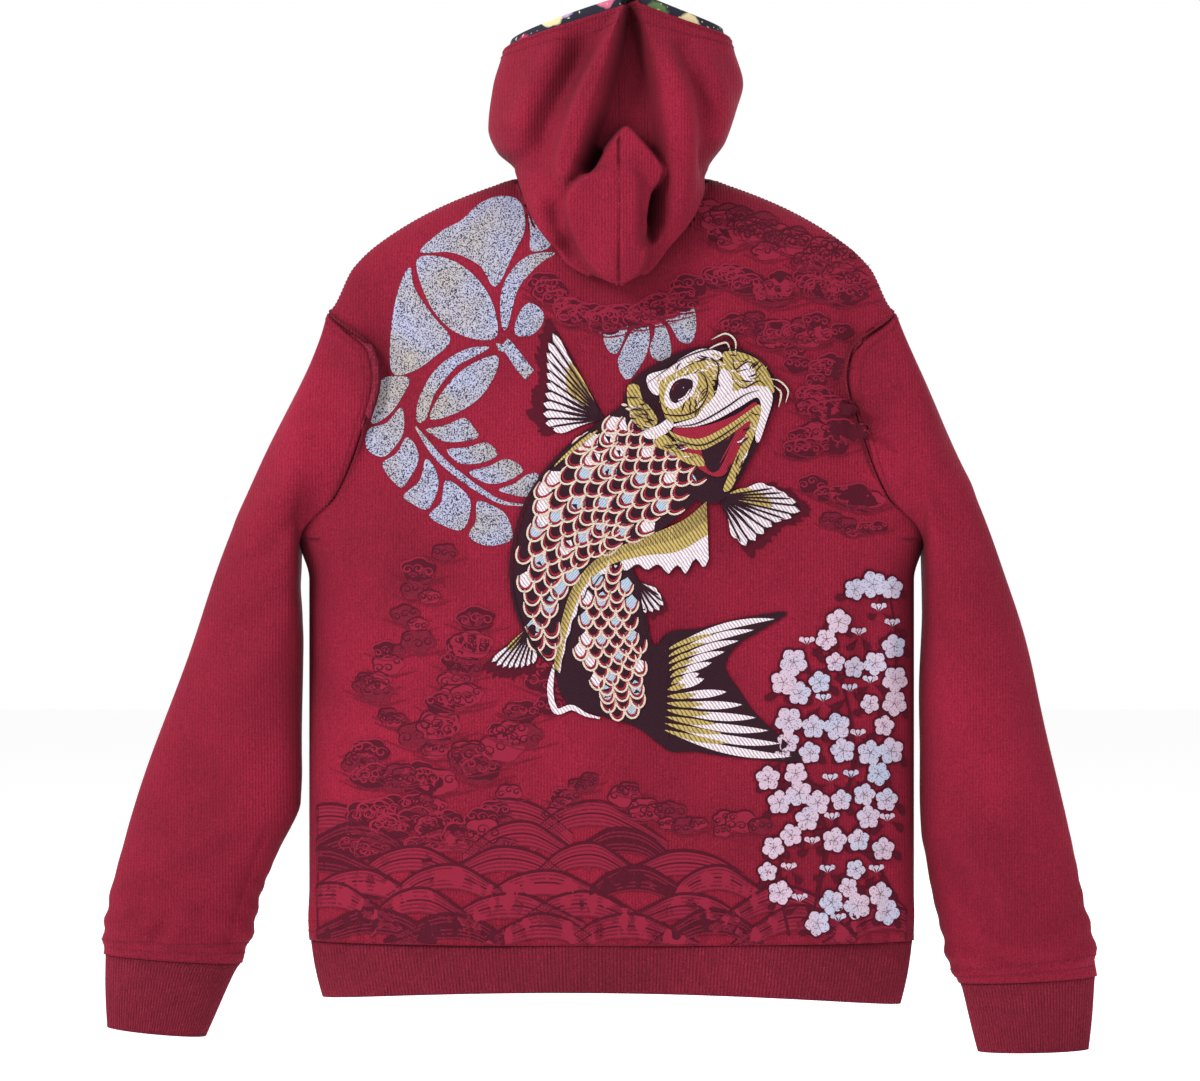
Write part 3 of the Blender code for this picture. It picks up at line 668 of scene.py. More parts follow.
def normals_of(grid: Array, closed: bool = False) -> Array:
    """Returns the unit normals of a grid of points, from its neighbours."""
    if closed:
        across = np.roll(grid, -1, axis=1) - np.roll(grid, 1, axis=1)
    else:
        across = np.gradient(grid, axis=1)
    along = np.gradient(grid, axis=0)
    cross = np.cross(across, along)
    return cross / np.maximum(np.linalg.norm(cross, axis=2, keepdims=True), 1e-12)


def cloth_piece(name: str, grid: Array, finish: Finish, thickness: float, closed: bool = False,
        inside: Finish | None = None) -> bpy.types.Object:
    """Makes a cloth piece of real thickness from a grid on its outer face.

    Args:
        name: the piece's name.
        grid: rows of points, ordered so that the normals point out.
        finish: the outer face's finish.
        thickness: the cloth's thickness.
        closed: whether each row comes back to its start.
        inside: the inner face's finish, if it differs.

    Returns:
        The new object.
    """
    rows, columns, _ = grid.shape
    made = mesh_object(name, grid.reshape(-1, 3), grid_faces(rows, columns, closed), finish)
    wall = made.modifiers.new("wall", "SOLIDIFY")
    wall.thickness = thickness
    wall.offset = -1.0
    if inside:
        made.data.materials.append(inside.material())
        wall.material_offset = 1
    return made


def tube_mesh(path: Array, radius: float, sides: int = 6, taper: float = 0.0) -> tuple[Array, list]:
    """Makes a round thread along a path.

    Args:
        path: its points.
        radius: its radius.
        sides: how many sides it has.
        taper: share of the length over which the ends thin out.

    Returns:
        Its vertices and faces.
    """
    ahead = np.gradient(path, axis=0)
    ahead /= np.maximum(np.linalg.norm(ahead, axis=1, keepdims=True), 1e-12)
    up = np.tile(np.array([0.0, -1.0, 0.0]), (len(path), 1))
    across = np.cross(ahead, up)
    across /= np.maximum(np.linalg.norm(across, axis=1, keepdims=True), 1e-9)
    up = np.cross(across, ahead)
    share = np.linspace(0, 1, len(path))
    wide = np.full(len(path), radius)
    if taper:
        wide = radius * np.sqrt(np.clip(np.minimum(share, 1 - share) / taper, 0.05, 1))
    turns = np.arange(sides) * 2 * math.pi / sides
    rings = path[:, None] + wide[:, None, None] * (
        np.cos(turns)[None, :, None] * across[:, None] + np.sin(turns)[None, :, None] * up[:, None]
    )
    count = len(path)
    faces: list = grid_faces(count, sides, True)
    faces.append(tuple(range(sides)))
    faces.append(tuple(reversed(range((count - 1) * sides, count * sides))))
    return rings.reshape(-1, 3), faces


class Bundle:
    """Many small shapes gathered into one piece."""

    def __init__(self) -> None:
        """Starts empty."""
        self.points: list[Array] = []
        self.faces: list[tuple[int, ...]] = []
        self.count = 0

    def add(self, points: Array, faces: Sequence[Sequence[int]]) -> None:
        """Adds a shape's vertices and faces."""
        points = np.asarray(points, float)
        self.points.append(points)
        self.faces.extend(tuple(i + self.count for i in face) for face in faces)
        self.count += len(points)

    def build(self, name: str, finish: Finish, body: str) -> bpy.types.Object | None:
        """Makes the piece, riding on a body, if anything was gathered."""
        if not self.count:
            return None
        made = mesh_object(name, np.vstack(self.points), self.faces, finish)
        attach(made, body)
        return made


def stitches(bundle: Bundle, path: Array, length: float = 2.6 * MM, gap: float = 0.9 * MM,
        radius: float = 0.35 * MM) -> None:
    """Adds a line of topstitches along a path in space."""
    steps = np.linalg.norm(np.diff(path, axis=0), axis=1)
    along = np.concatenate([[0], np.cumsum(steps)])
    count = int(along[-1] / (length + gap))
    for i in range(count):
        start = i * (length + gap)
        at = start + length * np.array([0, 0.2, 0.5, 0.8, 1.0])
        line = np.stack([np.interp(at, along, path[:, k]) for k in range(3)], axis=1)
        points, faces = tube_mesh(line, radius, 5, 0.2)
        bundle.add(points, faces)


# ------------------------------------------------------------------ the garment's walls


@dataclass
class Ripple:
    """Slow unevenness of hanging cloth: a few crossed waves.

    Attributes:
        height: how far it lifts the cloth.
        size: the waves' length.
        seed: which waves are drawn.
    """

    height: float
    size: float
    seed: int

    def relief(self, x: Array, z: Array) -> Array:
        """Returns the lift at each place."""
        draw = random.Random(self.seed)
        total = np.zeros(np.shape(x))
        for _ in range(6):
            angle, length = draw.uniform(-1.0, 1.0), self.size * draw.uniform(0.7, 1.6)
            total += (
                np.sin((x * math.cos(angle) + z * math.sin(angle)) * 2 * math.pi / length
                    + draw.uniform(0, 6.28))
            )
        return self.height * total / 3


# how the armhole's opening dies away inside a body panel: its height below the underarm, its share of the
# full opening, and how closely it keeps to the side seam
ARM_FADE = 0.07
ARM_SHARE = 0.8
SIDE_POWER = 30
EDGE_POWER = 8


@dataclass
class BodyShape:
    """The body's outer wall, on the frame's own curves.

    Attributes:
        tip: the shoulder seam's outer end, half width and height.
        corner: the neck's corner.
        underarm: the foot of the armhole.
        side: half width below the arms.
        hem_seam: height of the hem seam.
        depth: half depth of the body.
        rounding: height over which it closes to the shoulder seam.
        armhole: half depth of the armhole.
        back_drop: how far the back of the neck dips.
        front_drop: how far the front of the neck dips.
        seam: gap between sewn pieces.
    """

    tip: Point2 = (0.243, -0.107)
    corner: Point2 = (0.08, 0.006)
    underarm: Point2 = (0.269, -0.303)
    side: float = 0.26
    hem_seam: float = -0.648
    depth: float = 0.055
    rounding: float = 0.09
    armhole: float = 0.034
    back_drop: float = 0.026
    front_drop: float = 0.09
    seam: float = 0.5 * MM

    def __post_init__(self) -> None:
        """Prepares the side's and the shoulder's curves."""
        waist = ((-0.268, 0.235), (-0.215, 0.213), (-0.165, 0.2), (-0.142, 0.205))
        shoulder = ((0.1, 0.0), (0.15, -0.02), (0.2, -0.05), (0.222, -0.071))
        self.half = SmoothCurve((
            (self.hem_seam, self.side), (self.underarm[1] - 0.035, self.side), self.underarm[::-1],
            *waist, self.tip[::-1],
        ))
        self.shoulder = SmoothCurve((self.corner, *shoulder, self.tip))

    def rise(self, level: Array) -> Array:
        """Returns the share of the armhole's height at a level."""
        return np.clip((level - self.underarm[1]) / (self.tip[1] - self.underarm[1]), 0.0, 1.0)

    def edge_depth(self, level: Array) -> Array:
        """Returns the half depth at the side, which opens at the armhole."""
        return np.maximum(self.armhole * np.sqrt(np.clip(1 - (2 * self.rise(level) - 1) ** 2, 0, 1)),
            self.seam / 2)

    def shoulder_height(self, x: Array) -> Array:
        """Returns the height of the shoulder seam, carried on over the neck."""
        x = np.abs(x)
        return np.where(x <= self.corner[0], self.corner[1] + 0.5 * (self.corner[0] - x), self.shoulder(x))

    def top(self, x: Array, face: Face) -> Array:
        """Returns the height of a panel's top edge."""
        x = np.abs(x)
        drop = self.back_drop if face is Face.BACK else self.front_drop
        neck = self.corner[1] - drop * np.sqrt(np.clip(1 - (x / self.corner[0]) ** 2, 0, 1))
        return np.where(x >= self.corner[0], self.shoulder(x), neck)

    def point(self, share: Array, level: Array, face: Face, start: float = 0.0) -> Array:
        """Returns points of the wall.

        Args:
            share: place across, 0 in the middle and 1 or -1 at the sides.
            level: height of the point's row at the side.
            face: back or front.
            start: half width left open in the middle.

        Returns:
            The points, with one more axis than the shares.
        """
        half = self.half(level)
        edge = self.edge_depth(level)
        first = np.arcsin(start / half)
        turn = np.where(share < 0, -1, 1) * (first + (np.pi / 2 - first) * np.abs(share))
        place = np.sin(turn)
        lift = ease(self.rise(level)) * (self.top(self.tip[0] * place, face) - self.tip[1])
        x, z = half * place, level + lift
        near = np.clip((self.shoulder_height(x) - z) / self.rounding, 0, 1)
        closing = np.sqrt(1 - (1 - near) ** 2)
        # the armhole's opening is felt softly inside the panel and fully only at its side
        near_arm = ease((level - self.underarm[1] + ARM_FADE) / (self.tip[1] - self.underarm[1] + ARM_FADE))
        inner = self.armhole * np.sin(np.pi * near_arm) * ARM_SHARE
        blend = np.abs(place) ** SIDE_POWER
        edge = (edge * blend + inner * (1 - blend)) * np.abs(place) ** EDGE_POWER
        y = edge + (self.depth - edge) * np.cos(turn) * closing
        return np.stack([x, face.value * y, z], axis=-1)

    def levels(self, below: int, above: int) -> Array:
        """Returns row heights from hem seam to shoulder."""
        low = np.linspace(self.hem_seam, self.underarm[1], below)[:-1]
        climb = (1 - np.cos(np.pi * np.linspace(0, 1, above))) / 2
        return np.concatenate([low, self.underarm[1] + climb * (self.tip[1] - self.underarm[1])])

    def shares(self, start: float = 0.0) -> Array:
        """Returns places across half a panel, with one on the neck's corner."""
        first = math.asin(start / self.tip[0])
        corner = (math.asin(self.corner[0] / self.tip[0]) - first) / (math.pi / 2 - first)
        return np.concatenate([corner * np.sin(np.pi / 2 * np.linspace(0, 1, 26)),
            corner + (1 - corner) * np.linspace(0, 1, 60)[1:]])


class Surface:
    """The outer face of built pieces, onto which flat shapes are laid."""

    def __init__(self, pieces: Sequence[bpy.types.Object], face: Face) -> None:
        """Args: pieces: the built pieces. face: the side from which shapes are laid on."""
        points, faces = [], []
        for piece in pieces:
            start = len(points)
            points += [v.co.copy() for v in piece.data.vertices]
            faces += [[i + start for i in p.vertices] for p in piece.data.polygons]
        self.tree = BVHTree.FromPolygons(points, faces)
        self.face = face

    def lay(self, places: Array, lift: float | Array) -> Array:
        """Lays places on the surface.

        Args:
            places: rows of across and up.
            lift: height above the cloth, one for all or one for each.

        Returns:
            The points in space.
        """
        found, depth = [], self.face.value * 0.05
        lifts = np.broadcast_to(lift, len(places))
        for (x, z), rise in zip(places, lifts):
            hit = self.tree.ray_cast(Vector((x, self.face.value * 1.0, z)),
                Vector((0, -self.face.value, 0)))
            if hit[0] is None:
                found.append((x, depth, z))
                continue
            depth = hit[0].y
            out = hit[1] if hit[1].y * self.face.value > 0 else -hit[1]
            spot = hit[0] + (out * 0.5 + Vector((0, self.face.value, 0)) * 0.5).normalized() * rise
            found.append(tuple(spot))
        return np.array(found)


@dataclass
class Torso:
    """Back panel, two front panels, hem rib, collar, pockets, neck tape and labels.

    Attributes:
        shape: the body's wall.
        cloth: the fabric's thickness.
        opening: half distance between the fronts' edges.
        hem_half: half width of the hem's lower edge.
        hem_drop: height of the hem rib at the sides.
        hem_arch: how much higher its middle hangs.
        rib_pitch: width of one rib of the knit.
        rib_depth: depth of the furrow between two ribs.
    """

    shape: BodyShape = field(default_factory=BodyShape)
    cloth: float = 3.0 * MM
    opening: float = 7.5 * MM
    hem_half: float = 0.249
    hem_drop: float = 0.052
    hem_arch: float = 0.012
    rib_pitch: float = 3.0 * MM
    rib_depth: float = 0.7 * MM

    folds: tuple[Fold, ...] = (
        Fold(((0.197, -0.085), (0.207, -0.138), (0.214, -0.2), (0.222, -0.25)), -2.4 * MM, 0.008),
        Fold(((0.186, -0.092), (0.194, -0.145), (0.203, -0.215)), 2.2 * MM, 0.013),
        Fold(((-0.196, -0.085), (-0.203, -0.15), (-0.215, -0.225)), -1.8 * MM, 0.009),
        Fold(((0.212, -0.318), (0.217, -0.375), (0.211, -0.45)), -2.2 * MM, 0.01),
        Fold(((0.232, -0.31), (0.238, -0.37), (0.233, -0.455)), 2.4 * MM, 0.011),
        Fold(((0.19, -0.33), (0.193, -0.39), (0.186, -0.47)), 1.8 * MM, 0.013),
        Fold(((-0.24, -0.3), (-0.205, -0.36), (-0.16, -0.43)), -1.8 * MM, 0.012),
        Fold(((-0.15, -0.52), (-0.155, -0.585), (-0.15, -0.64)), 1.6 * MM, 0.014, 0.2),
        Fold(((0.12, -0.54), (0.128, -0.6), (0.126, -0.645)), -1.6 * MM, 0.013, 0.2),
        Fold(((0.075, -0.03), (0.12, -0.06), (0.16, -0.1)), -1.6 * MM, 0.01),
        Fold(((-0.075, -0.03), (-0.125, -0.064), (-0.16, -0.11)), -1.6 * MM, 0.01),
    )
    ripple: Ripple = field(default_factory=lambda: Ripple(1.5 * MM, 0.16, 4))

    def relief(self, share: Array, x: Array, z: Array) -> Array:
        """Returns the cloth's lift: folds, unevenness and gathers above the hem, none at the side seams."""
        above = (z - self.shape.hem_seam) / 0.03
        gathers = (
            1.3 * MM * np.exp(-np.clip(above, 0, 9) ** 1.5)
            * np.sin(x * 2 * np.pi / 0.019 + 3 * np.sin(x * 60)) * ease(above / 0.15)
        )
        swell = 2.5 * MM * np.exp(-(((z - self.shape.hem_seam - 0.022) / 0.02) ** 2))
        edge = ease((1 - np.abs(share)) / 0.1) * ease((self.shape.shoulder_height(x) - z) / 0.03)
        return (relief_of(self.folds, x, z) + self.ripple.relief(x, z) + gathers + swell) * edge

    def panel(self, name: str, shares: Array, face: Face, start: float) -> tuple[bpy.types.Object, Array]:
        """Builds one body panel.

        Args:
            name: the piece's name.
            shares: its places across, in rising order.
            face: back or front.
            start: half width left open in the middle.

        Returns:
            The piece, and the grid of points on its outer face.
        """
        level, share = np.meshgrid(self.shape.levels(82, 66), shares, indexing="ij")
        grid = self.shape.point(share, level, face, start)
        if face is Face.FRONT:
            grid, share = grid[:, ::-1], share[:, ::-1]
        grid = grid + normals_of(grid) * self.relief(share, grid[..., 0], grid[..., 2])[..., None]
        return cloth_piece(name, grid, FLEECE, self.cloth, inside=FLEECE_INSIDE), grid

    def ribs(self, count: Array) -> Array:
        """Returns the rib knit's relief at each place counted in ribs."""
        return self.rib_depth * (np.abs(np.cos(np.pi * count)) ** 0.6 - 0.6)

    def build_hem(self) -> None:
        """Builds the hem's rib band, from one side of the zip round the back to the other."""
        drop = np.concatenate([[-0.05], np.linspace(0, 1, 15)])
        half = self.shape.side - 1 * MM + (self.hem_half - self.shape.side + 1 * MM) * drop
        fine = np.linspace(0, 2 * np.pi, 2000)
        line = np.stack([self.hem_half * np.sin(fine), self.shape.depth * np.cos(fine)], axis=1)
        length = lengths_along(line)
        first = math.asin(self.opening / self.hem_half)
        ends = np.interp([first, 2 * np.pi - first], fine, length)
        count = int((ends[1] - ends[0]) / self.rib_pitch)
        at = np.linspace(ends[0], ends[1], count * 6 + 1)
        turn = np.interp(at, length, fine)
        x = half[:, None] * np.sin(turn)
        under = np.where(drop < 0, 2.2 * MM, 0.0)[:, None]
        x = x - under * np.sin(turn)
        y = (self.shape.depth - under) * np.cos(turn)
        foot = (
            self.shape.hem_seam - self.hem_drop - 0.003 * x / self.hem_half
            + self.hem_arch * (1 - (x / self.hem_half) ** 2)
        )
        z = (
            self.shape.hem_seam - self.shape.seam
            + drop[:, None] * (foot - self.shape.hem_seam + self.shape.seam)
        )
        grid = np.stack([x, y, z], axis=-1)
        lift = (
            self.ribs(np.arange(len(at)) / 6)[None] + (1.2 * MM * np.sin(np.pi * drop) - 0.6 * MM)[:, None]
        )
        grid = grid + normals_of(grid) * lift[..., None]
        hem = cloth_piece("hem_rib", grid, RIB, self.cloth)
        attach(hem, TORSO)
        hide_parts("hem_band")

    def build_collar(self) -> None:
        """Builds the neck band that the hood is sewn to."""
        back, front = self.shape.shares(), self.shape.shares(self.opening)
        back, front = back[back <= back[25] + 1e-9], front[:26]
        parts = []
        for shares, face, start, tallest in (
            (-front - 1e-9, Face.FRONT, self.opening, 0.014),
            (np.concatenate([-back[:0:-1], back]), Face.BACK, 0.0, 0.018),
            (front[::-1], Face.FRONT, self.opening, 0.014),
        ):
            edge = self.shape.point(shares, np.full(len(shares), self.shape.tip[1]), face, start)
            middle = np.sqrt(np.clip(1 - np.abs(edge[:, 0]) / self.shape.corner[0], 0, 1))
            parts.append(np.column_stack([edge, 0.01 + (tallest - 0.01) * middle]))
        edge = np.vstack([parts[0], parts[1][1:], parts[2][1:]])
        rise = np.linspace(0, 1, 8)[:, None]
        grid = np.broadcast_to(edge[:, :3], (8, len(edge), 3)).copy()
        grid[..., 2] += self.shape.seam + edge[:, 3] * rise
        collar = cloth_piece("neck_band", grid, FLEECE, self.cloth)
        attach(collar, TORSO)
        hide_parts("hood_base")

    def build_patches(self, fronts: Surface, back: Surface) -> None:
        """Builds the pockets on the fronts, and the neck tape and labels inside the back."""
        for side in Side:
            across, up = np.meshgrid(np.linspace(0, 1, 60), np.linspace(0, 1, 80))
            reach = 0.14 - 0.075 * ease((up - 0.3) / 0.7)
            flat = np.stack([side.value * (0.028 + reach * across), -0.64 + 0.21 * up], axis=-1)
            rim = np.minimum(np.minimum(across, 1 - across) * reach, np.minimum(up, 1 - up) * 0.21)
            puff = 0.5 * MM + 3.2 * MM * ease(rim / 0.008)
            grid = fronts.lay(flat.reshape(-1, 2), puff.reshape(-1)).reshape(80, 60, 3)
            grid = grid[:, ::-1] if side is Side.RIGHT else grid
            pocket = cloth_piece(f"pocket_{side.word}_patch", grid, FLEECE, 2.6 * MM)
            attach(pocket, TORSO)
            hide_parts(f"pocket_{side.word}")
            thread = Bundle()
            for column in (2, 57):
                stitches(thread, grid[3:77, column] + np.array([0, 0.35 * MM, 0]))
            for row in (3, 76):
                stitches(thread, grid[row, 2:58] + np.array([0, 0.35 * MM, 0]))
            thread.build(f"pocket_{side.word}_stitching", SEAM_THREAD, TORSO)
        for name, (left, right, foot, top), finish, node in (
            ("neck_seam_tape", (-0.046, 0.046, -0.086, -0.072), TAPE, "neck_tape"),
            ("blank_size_label", (-0.02, 0.02, -0.122, -0.0875), LABEL, "size_label"),
            ("blank_care_label", (-0.2, -0.172, -0.6, -0.555), LABEL, "care_label"),
        ):
            x, z = np.meshgrid(np.linspace(left, right, 24), np.linspace(foot, top, 16))
            grid = back.lay(np.stack([x, z], axis=-1).reshape(-1, 2),
                -(self.cloth + 0.9 * MM)).reshape(16, 24, 3)
            patch = cloth_piece(name, grid[:, ::-1], finish, 0.7 * MM)
            patch.modifiers["wall"].offset = 1.0
            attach(patch, TORSO)
            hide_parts(node)

    def build(self) -> tuple[Surface, Surface]:
        """Builds the torso.

        Returns:
            The back's and the front's outer faces, for what is laid on them.
        """
        half = self.shape.shares()
        back, grid = self.panel("back_piece", np.concatenate([-half[:0:-1], half]), Face.BACK, 0.0)
        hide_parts("back_panel")
        thread = Bundle()
        normals = normals_of(grid)
        for column in (3, 5, -4, -6):
            stitches(thread, (grid + normals * 0.2 * MM)[84:-2, column])
        for row in (2, 4):
            stitches(thread, (grid + normals * 0.2 * MM)[row, 2:-2])
        for columns in (slice(2, 58), slice(-58, -2)):
            stitches(thread, (grid + normals * 0.2 * MM)[-3, columns])
        fronts = []
        front = self.shape.shares(self.opening)
        for side in Side:
            shares = front if side is Side.RIGHT else -front[::-1] - 1e-9
            piece, grid = self.panel(f"front_{side.word}_piece", shares, Face.FRONT, self.opening)
            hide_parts(f"front_{side.word}_panel")
            normals = normals_of(grid)
            edge = -3 if side is Side.RIGHT else 2
            stitches(thread, (grid + normals * 0.2 * MM)[3:-3, edge])
            fronts.append(piece)
        for piece in (back, *fronts):
            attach(piece, TORSO)
        thread.build("body_stitching", SEAM_THREAD, TORSO)
        self.build_hem()
        self.build_collar()
        surfaces = Surface([back], Face.BACK), Surface(fronts, Face.FRONT)
        self.build_patches(surfaces[1], surfaces[0])
        log.info("torso built")
        return surfaces


def loft(rows: Array, steps: int) -> Array:
    """Carries a surface smoothly through sections.

    Args:
        rows: the sections' points.
        steps: how many rows to make.

    Returns:
        The finer grid.
    """
    gaps = np.linalg.norm(np.diff(rows, axis=0), axis=2).mean(axis=1)
    at = np.concatenate([[0], np.cumsum(gaps)])
    flat = rows.reshape(len(rows), -1)
    wanted = np.linspace(0, at[-1], steps)
    columns = [OpenCurve(np.column_stack([at, flat[:, k]]))(wanted) for k in range(flat.shape[1])]
    return np.stack(columns, axis=1).reshape(steps, *rows.shape[1:])


Section = tuple[Point2, Point2, float]


@dataclass
class Sleeve:
    """One sleeve and its cuff.

    Attributes:
        side: which sleeve.
        sections: outer edge, inner edge and half depth from armhole to cuff seam.
        cuff_end: outer and inner edge of the cuff's end.
        folds: its folds, across and up.
        body: the torso, whose armhole it follows.
        cuff_depth: half depth of the cuff's end.
        tuck: how much narrower the cuff starts than the sleeve ends.
        around: points round one section.
    """

    side: Side
    sections: tuple[Section, ...]
    cuff_end: tuple[Point2, Point2]
    folds: tuple[Fold, ...]
    body: Torso
    cuff_depth: float = 0.022
    tuck: float = 2.0 * MM
    around: int = 108

    def section(self, outer: Point2, inner: Point2, depth: float, turns: Array) -> Array:
        """Returns a section's points; turn 0 is at its outer edge, half a turn at its inner one."""
        share = (1 - np.cos(turns)) / 2
        x = outer[0] + (inner[0] - outer[0]) * share
        z = outer[1] + (inner[1] - outer[1]) * share
        return np.stack([self.side.value * x, -depth * np.sin(turns), z], axis=-1)

    def armhole(self, turns: Array) -> Array:
        """Returns the first section, round the body's armhole."""
        shape = self.body.shape
        level = shape.underarm[1] + (1 + np.cos(turns)) / 2 * (shape.tip[1] - shape.underarm[1])
        x = self.side.value * (shape.half(level) + shape.seam)
        return np.stack([x, -shape.armhole * np.sin(turns), level], axis=-1)

    def build(self) -> None:
        """Builds the sleeve from the torso's armhole outwards, and its cuff."""
        word, flip = self.side.word, self.side is Side.LEFT
        turns = np.arange(self.around) * 2 * np.pi / self.around
        rows = np.stack([self.armhole(turns), *(self.section(*s, turns) for s in self.sections)])
        grid = loft(rows, 130)
        grid[0] = grid[0] * [1.0, 0.86, 1.0] - [self.side.value * 4.0 * MM, 0.0, 0.0]
        grid = grid[:, ::-1] if flip else grid
        normals = normals_of(grid, True)
        along = np.linspace(0, 1, 130)[:, None]
        ends = ease(along / 0.05) * ease((1 - along) / 0.03)
        soft = Ripple(1.3 * MM, 0.11, 7 if flip else 9)
        x, z = grid[..., 0], grid[..., 2]
        swell = 3.0 * MM * np.exp(-(((1 - along) - 0.05) / 0.035) ** 2)
        bunch = 1.6 * MM * np.sin(along * 140 + 5 * np.sin(x * 30)) * np.exp(-(((1 - along) / 0.12) ** 2))
        grid = (
            grid + normals * ((relief_of(self.folds, x, z) + soft.relief(x, z) + swell + bunch)
                * ends)[..., None]
        )
        sleeve = cloth_piece(f"sleeve_{word}_piece", grid, FLEECE, self.body.cloth, True, FLEECE_INSIDE)
        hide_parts(f"{word}_sleeve")
        self.bend(sleeve)
        thread = Bundle()
        normals = normals_of(grid, True)
        for row in (-3, -5):
            ring = (grid + normals * 0.2 * MM)[row]
            stitches(thread, np.vstack([ring, ring[:1]]))
        ring = (grid + normals * 0.2 * MM)[2]
        stitches(thread, np.vstack([ring, ring[:1]]))
        made = mesh_object(f"sleeve_{word}_stitching", np.vstack(thread.points), thread.faces, SEAM_THREAD)
        self.bend(made)
        self.build_cuff(word, flip)
        log.info("%s sleeve built", word)

    def bend(self, piece: bpy.types.Object) -> None:
        """Bakes a piece's place into its mesh."""
        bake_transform(piece)

    def build_cuff(self, word: str, flip: bool) -> None:
        """Builds the ribbed cuff."""
        outer, inner, depth = self.sections[-1]
        top = ((outer[0] - self.tuck, outer[1] - 0.8 * MM), (inner[0] + self.tuck, inner[1] - 0.8 * MM))
        count = (
            round(2 * math.pi * math.hypot((outer[0] - inner[0]) / 2, depth) / math.sqrt(2)
                / self.body.rib_pitch)
        )
        fine = np.linspace(0, 2 * np.pi, 1500)
        line = self.section(outer, inner, depth, fine)
        length = lengths_along(line)
        turns = np.interp(np.arange(count * 6) / (count * 6) * length[-1], length, fine)
        rows = []
        drop = np.concatenate([[-0.06], np.linspace(0, 1, 16)])
        for share in drop:
            ends = [
                tuple(a + (b - a) * s for a, b,
                    s in zip(top[i], self.cuff_end[i], (max(share, 0) ** 0.8, share))) for i in (0, 1)
            ]
            wall = (
                depth - self.tuck / 2 + (self.cuff_depth - depth + self.tuck / 2) * share
                - (3 * MM if share < 0 else 0)
            )
            rows.append(self.section(*ends, wall, turns))
        grid = np.stack(rows)
        grid = grid[:, ::-1] if flip else grid
        lift = self.body.ribs(np.arange(count * 6) / 6)[None] + (1.0 * MM * np.sin(np.pi * drop))[:, None]
        grid = grid + normals_of(grid, True) * lift[..., None]
        cuff = cloth_piece(f"cuff_{word}_rib", grid, RIB, self.body.cloth, True)
        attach(cuff, self.side.sleeve_body)
        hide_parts(f"{word}_cuff")


